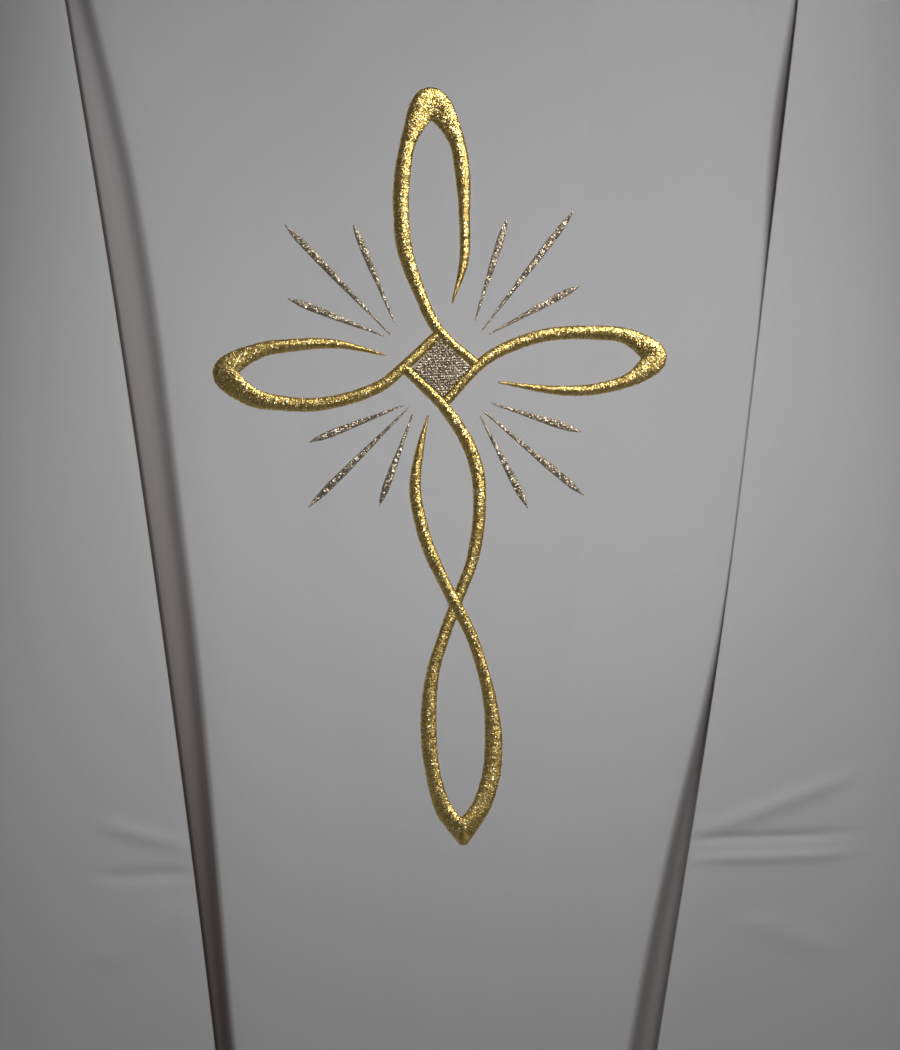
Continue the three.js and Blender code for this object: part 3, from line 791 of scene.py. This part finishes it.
# ---- Hanger loop and care label ----
# The loop is a narrow woven tape with both ends sewn under the back neck facing, and it hangs free.
# The label is a small blank satin tab with a turned edge, sewn on along its top.
LOOP_TAPE = 5
LOOP_THICK = 0.8
loop_low, loop_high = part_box("hanger_loop")
loop_centre = (loop_low + loop_high) / 2 / MM
loop_half = (loop_high.x - loop_low.x) / 2 / MM - LOOP_TAPE / 2
loop_drop = ((loop_high.z - loop_low.z) / MM - LOOP_TAPE / 2) / 0.75
LOOP_STEPS = 60
LOOP_COLUMNS = 9
done = np.linspace(0, 1, LOOP_STEPS)
left = 1 - done
loop_x = loop_half * (-(left ** 3) - 3 * left ** 2 * done + 3 * left * done**2 + done**3)
loop_z = loop_high.z / MM - 3 * loop_drop * (left ** 2 * done + left * done**2)
loop_slope = np.stack([np.gradient(loop_x), np.gradient(loop_z)], axis=1)
loop_slope /= np.linalg.norm(loop_slope, axis=1, keepdims=True)
rib = np.linspace(-0.5, 0.5, LOOP_COLUMNS)
beside = rib * LOOP_TAPE * 0.94
loop_grid = np.zeros((LOOP_STEPS, LOOP_COLUMNS, 3))
loop_grid[..., 0] = loop_x[:, None] - loop_slope[:, 1:] * beside
loop_grid[..., 2] = np.minimum(loop_z[:, None] + loop_slope[:, :1] * beside, loop_high.z / MM - 0.1)
loop_grid[..., 1] = loop_centre.y + 0.05 * np.cos(rib * 8 * math.pi)[None, :]
loop = cloth_piece("hanging_tape_loop", loop_grid, -1, woven_tape, thickness=LOOP_THICK,
                   neck=np.zeros(LOOP_STEPS, bool))
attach(loop, "loop")
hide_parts("hanger_loop")

label_low, label_high = (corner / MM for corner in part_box("care_label"))
LABEL_COLUMNS = 36
LABEL_ROWS = 24
SATIN_LIGHT = (0.78, 0.775, 0.77, 1)
SATIN_SHADE = (0.72, 0.715, 0.71, 1)
label_satin = plain_cloth("label_satin", SATIN_LIGHT, SATIN_SHADE, PAINTED_PLEAT_SHADE, 0.45, 0.2)
wide = np.linspace(label_low.x, label_high.x, LABEL_COLUMNS)[:, None] + np.zeros((1, LABEL_ROWS))
tall = np.linspace(label_high.z, label_low.z, LABEL_ROWS)[None, :] + np.zeros((LABEL_COLUMNS, 1))
curl = share(label_high.z - tall, 0, label_high.z - label_low.z) ** 2
deep = (label_low.y + label_high.y) / 2 + 0.2 * curl * np.cos(wide / 9) + 0.15 * np.cos(wide / 2.1) * curl
label = cloth_piece("blank_label", np.stack([wide, deep, tall], axis=-1), -1, label_satin, thickness=0.5,
                    neck=np.ones(LABEL_COLUMNS, bool))
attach(label, "label")
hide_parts("care_label")

# ---- Embroidery: the gold strokes ----
# Satin stitch in metallic gold thread over padding: the threads lie close together straight across
# each stroke, so it is rounded and its edges are a little ragged. Four strokes turn round the
# diamond, and the lower one crosses over itself.
THREAD_PITCH = 0.42
THREAD_GROOVE = 0.04
EDGE_HEIGHT = 0.2
GOLD_HEIGHT = 1.35
CROSS_DROP = -cross_centre.z / MM
# A stroke's points are x, height over the middle of the cross, and half width.
GOLD_STROKES = {
    "top": [
        (6.5, 32, 0.4), (13.3, 53, 2.4), (14.6, 77, 2.8), (14.6, 95, 3.8), (11.8, 115, 4.2), (0, 132.5, 8),
        (-11, 116, 4.2), (-16, 94, 4.1), (-17, 78, 4), (-16, 60, 3.9), (-9.5, 38, 3.1), (-1.2, 19.2, 2.8),
        (16.6, 1.4, 2.6),
    ],
    "left": [
        (27.7, -8.3, 0.4), (56.6, -13.6, 2.3), (73.5, -14.1, 2.8), (90.2, -11.1, 3.2), (98.5, -7.4, 4.4),
        (106.2, 0.7, 6.4), (93.9, 11.4, 4.1), (74.8, 14.6, 3.5), (51.2, 14, 3.2), (29.5, 7.3, 3),
        (18.4, 0.4, 2.7), (1.4, -16.6, 2.6),
    ],
    "right": [
        (-27.6, 7.6, 0.4), (-53.3, 14.4, 2.3), (-75.8, 14.6, 3.3), (-92.4, 12.4, 4), (-108.5, 2.6, 6.4),
        (-96.4, -9.9, 4.8), (-82.6, -13.8, 3.8), (-60.2, -15.3, 3.3), (-31.8, -8, 3), (-19.2, 1.2, 2.8),
        (-1.5, 16.5, 2.6),
    ],
    "lower": [
        (-18.4, 0.6, 2.6), (0.4, -20, 2.9), (10.7, -37, 3.2), (15.5, -53, 3.4), (15.9, -68, 3.2),
        (14.2, -83, 3.2), (10.3, -98.6, 3), (3.9, -113.5, 2.9), (-4.4, -133, 3), (-10.7, -150.5, 3.2),
        (-13.8, -168, 3.8), (-14.6, -186, 4), (-13, -204, 3.7), (-9.2, -219.5, 4.3), (-4.1, -227.6, 4.7),
        (0.6, -232, 7.2), (4.3, -227.9, 5.2), (10, -220.2, 4.8), (15.6, -205, 4.6), (17.7, -187.6, 4.4),
        (17, -169.5, 3.5), (13.7, -151.3, 2.9), (8.5, -133.6, 2.9), (-4.3, -105.5, 3),
        (-10.6, -89.7, 3.2), (-14.4, -74.5, 3.1), (-16, -59, 2.9), (-12.7, -40, 2), (-7.9, -23.3, 0.4),
    ],
}
# The lower stroke's tip is trimmed to a point by two slanted lines: which way each faces, and how far
# it lies from the middle of the cross.
LOWER_TIP = [((-0.807, -0.59), 142.1), ((0.8, -0.6), 145.1)]


def on_front(x, drop, out):
    """The point on the open front at a signed x, standing out of the cloth by so much."""
    points = []
    for side, sign in SIGN.items():
        across = np.maximum(sign * x, 0)
        points.append(out_of_cloth(FRONT, side, across, drop, soft_roll(FRONT, side, across, drop) - out))
    point = np.where((x > 0)[..., None], points[0], points[1])
    point[..., 0] = x
    return point


def smooth_line(points, pitch):
    """An evenly stepped smooth line through points, with steps of about the pitch."""
    knots = np.array(points, float)
    padded = np.vstack([2 * knots[0] - knots[1], knots, 2 * knots[-1] - knots[-2]])
    line = []
    for k in range(len(knots) - 1):
        p0, p1, p2, p3 = padded[k:k + 4]
        d0, d1, d2 = (np.sum((b - a) ** 2) ** 0.25 for a, b in ((p0, p1), (p1, p2), (p2, p3)))
        leave = ((p1 - p0) / d0 - (p2 - p0) / (d0 + d1) + (p2 - p1) / d1) * d1
        arrive = ((p2 - p1) / d1 - (p3 - p1) / (d1 + d2) + (p3 - p2) / d2) * d1
        t = np.linspace(0, 1, 60, endpoint=False)[:, None]
        line.append(p1 + leave * t + (3 * (p2 - p1) - 2 * leave - arrive) * t**2
                    + (2 * (p1 - p2) + leave + arrive) * t**3)
    line = np.vstack([*line, knots[-1:]])
    run = np.concatenate([[0], np.cumsum(np.linalg.norm(np.diff(line[:, :2], axis=0), axis=1))])
    even = np.linspace(0, run[-1], max(4, round(run[-1] / pitch)))
    return np.stack([np.interp(even, run, line[:, k]) for k in range(3)], axis=1)


def gathered(edge, reach):
    """Where a tight turn makes an edge cross itself, the threads in the loop share one point."""
    edge = edge.copy()
    k = 0
    while k < len(edge) - 3:
        a, b = edge[k], edge[k + 1]
        c, d = edge[k + 2:k + reach], edge[k + 3:k + reach + 1]
        c = c[:len(d)]
        first, second, between = b - a, d - c, c - a
        cross = first[0] * second[:, 1] - first[1] * second[:, 0]
        cross = np.where(np.abs(cross) < 1e-12, 1e-12, cross)
        s = (between[:, 0] * second[:, 1] - between[:, 1] * second[:, 0]) / cross
        t = (between[:, 0] * first[1] - between[:, 1] * first[0]) / cross
        met = np.nonzero((s > 0) & (s < 1) & (t > 0) & (t < 1))[0]
        if len(met):
            last = k + 2 + met[-1]
            edge[k + 1:last + 1] = a + first * s[met[-1]]
            k = last
        k += 1
    return edge


# Places across a stroke. Both edges come twice, as their outermost points go down into the cloth.
ACROSS = np.array([-1, -1, -0.9, -0.68, -0.36, 0, 0.36, 0.68, 0.9, 1, 1])
ROWS_IN_THREAD = 2
INTO_CLOTH = -0.45


def satin_band(points, height, pitch, seed, within=()):
    """A rounded band of close threads along a line: points, marks for its material, and its middle."""
    dice = np.random.default_rng(seed)
    line = smooth_line(points, pitch / ROWS_IN_THREAD)
    slope = np.gradient(line[:, :2], axis=0)
    slope /= np.maximum(np.linalg.norm(slope, axis=1, keepdims=True), 1e-9)
    side = np.stack([-slope[:, 1], slope[:, 0]], axis=1)
    rows = len(line)
    thread = np.arange(rows) // ROWS_IN_THREAD
    half = line[:, 2]
    window = round(17 / pitch) * ROWS_IN_THREAD
    ragged = dice.normal(0, 0.08, (thread[-1] + 1, 2))[thread]
    left = gathered(line[:, :2] + side * half[:, None], window) + side * ragged[:, :1]
    right = gathered(line[:, :2] - side * half[:, None], window) - side * ragged[:, 1:]
    across = (left - right) / np.maximum(np.linalg.norm(left - right, axis=1, keepdims=True), 1e-9)
    for normal, limit in within:
        lean = across @ np.array(normal)
        lean = np.where(np.abs(lean) < 0.2, 1e9, lean)
        for edge in (left, right):
            edge -= across * (np.maximum(edge @ np.array(normal) - limit, 0) / lean)[:, None]
    middle, reach = (left + right) / 2, (left - right) / 2
    place = middle[:, None] + ACROSS[None, :, None] * reach[:, None]
    width = np.linalg.norm(reach, axis=1)
    crown = height * (0.45 + 0.55 * share(width, 0.3, 3.2))
    dome = np.clip(1 - np.abs(ACROSS) ** 2.2, 0, 1) ** 0.75
    rise = EDGE_HEIGHT + (crown[:, None] - EDGE_HEIGHT) * dome
    tight = dice.normal(0, 0.02, thread[-1] + 1)[thread][:, None]
    groove = np.where(np.arange(rows) % ROWS_IN_THREAD == 0, -THREAD_GROOVE, 0.0)[:, None]
    rise = rise + (tight + groove) * dome ** 0.5
    # In the wide turns the stitches are split in two, and sink a little along a jagged line.
    jagged = 0.05 + 0.2 * dice.normal(0, 1, thread[-1] + 1)[thread][:, None]
    split = np.exp(-(((ACROSS - jagged) / 0.2) ** 2))
    rise = rise - 0.3 * split * share(width, 4.6, 6.5)[:, None]
    # Where the line comes back over its earlier part, it is lifted across it.
    for k in range(rows):
        earlier = line[:max(0, k - 8 * window), :2]
        if len(earlier):
            apart = np.hypot(*(earlier - middle[k]).T).min()
            rise[k] += 0.95 * math.exp(-((apart / 4.2) ** 2))
    blunt = np.array([half[0] > 1, half[-1] > 1])
    from_start, from_end = np.arange(rows), rows - 1 - np.arange(rows)
    ends = np.minimum(share(from_start, 0, 4) + blunt[0], share(from_end, 0, 4) + blunt[1])
    rise = rise * (0.25 + 0.75 * np.minimum(ends, 1))[:, None]
    rise[:, (0, -1)] = INTO_CLOTH
    grid = on_front(place[..., 0], CROSS_DROP - place[..., 1], rise)
    tone = dice.uniform(0, 1, thread[-1] + 1)[thread][:, None] + 0 * rise
    along = np.arange(rows)[:, None] * pitch / ROWS_IN_THREAD + 0 * rise
    marks = np.stack([along * MM, ACROSS * half[:, None] * MM, tone], axis=-1)
    run = np.gradient(grid[:, len(ACROSS) // 2], axis=0)
    run /= np.maximum(np.linalg.norm(run, axis=1, keepdims=True), 1e-9)
    return grid, marks, np.broadcast_to(run[:, None], grid.shape), middle


def band_mesh(name, band, material):
    """The closed solid of a band: a tube of rows, flat underneath, with both ends shut."""
    grid, marks, run, _ = band
    rows, count = grid.shape[:2]
    number = np.arange(rows * count).reshape(rows, count)
    beside = np.roll(number, -1, axis=1)
    quads = np.stack([number[:-1], number[1:], beside[1:], beside[:-1]], axis=-1).reshape(-1, 4)
    ends = [number[0].tolist(), number[-1][::-1].tolist()]
    return new_piece(name, grid, quads.tolist() + ends, material, {"on_thread": marks, "thread_run": run})


def vector_maths(tree, operation, **inputs):
    """The result of one sum on directions."""
    return add_node(tree, "ShaderNodeVectorMath", {"operation": operation}, **inputs).outputs[0]


def metal_thread(name, dark, light, glint, roughness, sparkle, tilted, lie):
    """Twisted metallic thread: each thread has its own tone, and small facets of foil catch light."""
    material, tree, shader = new_material(name)
    place = add_node(tree, "ShaderNodeSeparateXYZ", Vector=mark(tree, "on_thread"))
    object_place = add_node(tree, "ShaderNodeTexCoord").outputs["Object"]
    patches = add_node(tree, "ShaderNodeTexNoise", Vector=object_place, Scale=420.0, Detail=3.0)
    facets = add_node(tree, "ShaderNodeTexVoronoi", Vector=object_place, Scale=2100.0)
    patchy = maths(tree, "MULTIPLY", patches.outputs["Fac"], 0.7)
    body = mixed(tree, maths(tree, "MULTIPLY_ADD", place.outputs[2], 0.4, patchy), dark, light)
    shine = maths(tree, "GREATER_THAN", facets.outputs["Color"], 1 - sparkle)
    coloured = mixed(tree, shine, body, glint)
    tree.links.new(coloured, shader.inputs["Base Color"])
    rough = maths(tree, "MULTIPLY_ADD", facets.outputs["Color"], 0.12, roughness)
    tree.links.new(rough, shader.inputs["Roughness"])
    # Each facet of the foil is tilted a little its own way.
    own = vector_maths(tree, "SUBTRACT", i0=facets.outputs["Color"], i1=(0.5, 0.5, 0.5))
    tilt = vector_maths(tree, "SCALE", i0=own, Scale=tilted)
    surface = add_node(tree, "ShaderNodeNewGeometry").outputs["Normal"]
    facing = vector_maths(tree, "NORMALIZE", i0=vector_maths(tree, "ADD", i0=surface, i1=tilt))
    tree.links.new(facing, shader.inputs["Normal"])
    shader.inputs["Metallic"].default_value = 0.95
    if lie:
        shader.inputs["Anisotropic"].default_value = lie
        tree.links.new(mark(tree, "thread_run"), shader.inputs["Tangent"])
    return material


GOLD_DARK = (0.36, 0.19, 0.03, 1)
GOLD_LIGHT = (0.90, 0.69, 0.24, 1)
GOLD_GLINT = (1.0, 0.93, 0.58, 1)
gold_thread = metal_thread("gold_thread", GOLD_DARK, GOLD_LIGHT, GOLD_GLINT,
                           roughness=0.31, sparkle=0.2, tilted=0.44, lie=0.75)
stitched_lines = []
for number, (place, points) in enumerate(GOLD_STROKES.items()):
    band = satin_band(points, GOLD_HEIGHT, THREAD_PITCH, 40 + number, LOWER_TIP if place == "lower" else ())
    stitched_lines.append(band[3][::8])
    stroke = band_mesh(f"{place}_satin_stroke", band, gold_thread)
    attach(stroke, "garment")
    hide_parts(f"gold_{place}_stroke")

# ---- Embroidery: the rays and the diamond ----
# Twelve narrow spindles of champagne glitter thread, three in each quarter, and a diamond filled
# with rows of short stitches set like bricks.
RAY_HALF_WIDTH = 2.1
RAY_DRAWN_IN = 0.86
RAY_HEIGHT = 0.85
RAY_OUTLINE = [(0, 0.15), (0.35, 0.6), (0.7, 1), (0.88, 0.8), (1, 0.1)]
# A ray's inner and outer end, as x and height over the middle of the cross.
RAYS = {
    "top_left_long": [(21, 18), (69.4, 75.6)],
    "top_left_steep": [(17.6, 23), (36, 73.4)],
    "top_left_flat": [(24.3, 15.9), (70.8, 38.3)],
    "top_right_long": [(-25.2, 18), (-75.7, 75.3)],
    "top_right_steep": [(-22.6, 23.4), (-41.2, 73.8)],
    "top_right_flat": [(-28.4, 17.2), (-75.6, 38.2)],
    "lower_left_long": [(19.1, -22), (68.7, -67.2)],
    "lower_left_steep": [(18, -24.9), (40, -72)],
    "lower_left_flat": [(24, -18.7), (68.6, -35.1)],
    "lower_right_long": [(-17.3, -19), (-70, -67)],
    "lower_right_steep": [(-15.6, -22.4), (-34.4, -67.7)],
    "lower_right_flat": [(-19.7, -17.8), (-68, -34.2)],
}
CHAMPAGNE_DARK = (0.20, 0.155, 0.10, 1)
CHAMPAGNE_LIGHT = (0.60, 0.51, 0.38, 1)
CHAMPAGNE_GLINT = (1.0, 0.95, 0.84, 1)
champagne_thread = metal_thread("champagne_thread", CHAMPAGNE_DARK, CHAMPAGNE_LIGHT, CHAMPAGNE_GLINT,
                                roughness=0.36, sparkle=0.14, tilted=0.8, lie=0)
for number, (place, ends) in enumerate(RAYS.items()):
    inner, outer = (np.array(end, float) for end in ends)
    points = [(*(inner + (outer - inner) * part), RAY_HALF_WIDTH * width * RAY_DRAWN_IN)
              for part, width in RAY_OUTLINE]
    band = satin_band(points, RAY_HEIGHT, THREAD_PITCH, 90 + number)
    stitched_lines.append(band[3][::8])
    ray = band_mesh(f"stitched_ray_{place}", band, champagne_thread)
    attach(ray, "garment")
    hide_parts(f"ray_{place}")

DIAMOND_HALF = 14.9
DIAMOND_STEPS = 100
BRICK_LENGTH = 2.2
BRICK_HEIGHT = 1.3
dice = np.random.default_rng(7)
diamond_steps = np.linspace(-1, 1, DIAMOND_STEPS)
first, second = np.meshgrid(diamond_steps, diamond_steps, indexing="ij")
fill_x = (first - second) / 2 * DIAMOND_HALF
fill_z = (first + second) / 2 * DIAMOND_HALF
course = np.floor(fill_z / BRICK_HEIGHT)
brick = np.floor(fill_x / BRICK_LENGTH + course * 0.5)
across_brick = np.abs((fill_x / BRICK_LENGTH + course * 0.5) % 1 - 0.5) * 2
up_brick = np.abs((fill_z / BRICK_HEIGHT) % 1 - 0.5) * 2
loose = dice.uniform(0, 1, (64, 64))[(course + 32).astype(int), (brick + 32).astype(int)]
fill_rise = 0.5 + 0.35 * (1 - across_brick**4) * (1 - up_brick**2) + 0.2 * loose
rim = np.maximum(np.abs(first), np.abs(second))
fill_rise = np.where(rim > 0.999, -0.4, fill_rise)
fill_grid = on_front(fill_x, CROSS_DROP - fill_z, fill_rise)
fill_marks = np.stack([fill_x * MM, fill_z * MM, loose], axis=-1)
fill = sheet_piece("brick_stitched_diamond", fill_grid, 1, champagne_thread, {"on_thread": fill_marks})
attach(fill, "garment")
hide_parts("diamond_fill")

# The tight stitches draw the front's cloth in beside them, in small puckers.
PUCKER_REACH = 7
PUCKER_DEPTH = 0.42
front_cloth = bpy.data.objects["front_middle_cloth"].data
places = np.zeros(len(front_cloth.vertices) * 3)
front_cloth.vertices.foreach_get("co", places)
places = places.reshape(-1, 3)
flat_x, over_cross = places[:, 0] / MM, places[:, 2] / MM + CROSS_DROP
near_cross = np.nonzero((np.abs(flat_x) < 125) & (over_cross < 150) & (over_cross > -245))[0]
near_x, near_up = flat_x[near_cross], over_cross[near_cross]
lines = np.vstack(stitched_lines)
apart = np.full(len(near_cross), 1e3)
for chunk in np.array_split(lines, 40):
    gap = np.hypot(near_x[:, None] - chunk[:, 0], near_up[:, None] - chunk[:, 1])
    apart = np.minimum(apart, gap.min(axis=1))
drawn = np.exp(-((np.maximum(apart - 2.5, 0) / PUCKER_REACH) ** 2))
wave = ripples(21, near_x / 13, near_up / 15)
places[near_cross, 1] += PUCKER_DEPTH * drawn * (0.55 + 0.5 * wave) * MM
front_cloth.vertices.foreach_set("co", places.ravel())

# ---- Embroidery backing ----
# An oval of matt non-woven stabiliser behind the whole cross, left in after stitching and trimmed
# to the inside of the pleats.
BACKING_HALF = (123, 198)
BACKING_UP = -49
BACKING_INSET = 2.3
BACKING_COLUMNS = 44
BACKING_ROWS = 64
BACKING_LIGHT = (0.74, 0.74, 0.73, 1)
BACKING_SHADE = (0.66, 0.66, 0.65, 1)
stabiliser = plain_cloth("stabiliser", BACKING_LIGHT, BACKING_SHADE, PAINTED_PLEAT_SHADE, 0.95, 0.8)
turns = np.linspace(-1, 1, BACKING_ROWS) * 0.998
wide = np.sqrt(1 - turns**2)[None, :] * BACKING_HALF[0]
sweep = np.linspace(-1, 1, BACKING_COLUMNS)[:, None]
back_z = np.broadcast_to(BACKING_UP - turns[None, :] * BACKING_HALF[1], (BACKING_COLUMNS, BACKING_ROWS))
limits = [soft_edge(FRONT, side, CROSS_DROP - back_z) - 8 for side in ("right", "left")]
back_x = np.where(sweep < 0, sweep * np.minimum(wide, limits[0]), sweep * np.minimum(wide, limits[1]))
backing_grid = on_front(back_x, CROSS_DROP - back_z, -BACKING_INSET)
backing = cloth_piece("oval_backing", backing_grid, -1, stabiliser, thickness=0.6,
                      neck=np.zeros(BACKING_COLUMNS, bool))
no_edge = np.ones(BACKING_COLUMNS * BACKING_ROWS * 3, np.float32)
backing.data.attributes["by_edge"].data.foreach_set("vector", no_edge)
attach(backing, "garment")
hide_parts("embroidery_backing")

# ---- Studio: floor, light and background ----
# The garment hangs a little above a plain pale floor, in plain soft light. The light close to the
# front only shades the cloth, and the small high one only draws glints from the metal thread.
FLOOR_DROP = 1420
FLOOR_HALF = 3.5
floor_mesh = bpy.data.meshes.new("studio_floor")
corners = ((-1, -1), (1, -1), (1, 1), (-1, 1))
floor_points = [(x * FLOOR_HALF, y * FLOOR_HALF, -FLOOR_DROP * MM) for x, y in corners]
floor_mesh.from_pydata(floor_points, [], [(0, 1, 2, 3)])
floor = bpy.data.objects.new("studio_floor", floor_mesh)
bpy.context.collection.objects.link(floor)
floor_paint, _, floor_shader = new_material("pale_floor")
floor_shader.inputs["Base Color"].default_value = (0.80, 0.80, 0.81, 1)
floor_shader.inputs["Roughness"].default_value = 0.9
floor_mesh.materials.append(floor_paint)


def soft_light(name, place, aim, size, power, colour=(1, 1, 1)):
    """A square lamp at a place in metres, aimed at another, with its side in metres and power in watts."""
    lamp = bpy.data.lights.new(name, "AREA")
    lamp.size = size
    lamp.energy = power
    lamp.color = colour
    stand = bpy.data.objects.new(name, lamp)
    bpy.context.collection.objects.link(stand)
    stand.location = place
    stand.rotation_mode = "QUATERNION"
    stand.rotation_quaternion = (Vector(aim) - Vector(place)).to_track_quat("-Z", "Y")
    stand.visible_camera = False
    return stand


CROSS_PLACE = (0, -0.14, -0.45)
front_light = soft_light("front_light", (0.03, -0.49, -0.47), (0.03, -0.14, -0.47), 0.6, 0.6,
                         (1.0, 0.99, 0.98))
front_light.data.shape = "RECTANGLE"
front_light.data.size_y = 0.12
front_light.visible_glossy = False
soft_light("upper_light", (0.34, -0.80, -0.02), CROSS_PLACE, 0.2, 1.35, (1.0, 0.99, 0.97))
glint_light = soft_light("glint_light", (0.48, -0.92, 0.13), CROSS_PLACE, 0.28, 6.5, (1.0, 0.98, 0.95))
glint_light.visible_diffuse = False
soft_light("rear_light", (-0.9, 1.7, 0.6), (0, 0.1, -0.6), 1.2, 24)
soft_light("side_light", (2.0, 0.4, 0.3), (0, 0, -0.6), 1.0, 8)
soft_light("other_side_light", (-2.0, -0.1, 0.2), (0, 0, -0.7), 1.0, 4)
studio = bpy.data.worlds.new("studio")
studio.use_nodes = True
bpy.context.scene.world = studio
backdrop = studio.node_tree.nodes["Background"]
backdrop.inputs["Color"].default_value = (0.80, 0.80, 0.82, 1)
backdrop.inputs["Strength"].default_value = 0.075
bpy.context.scene.view_settings.view_transform = "Standard"
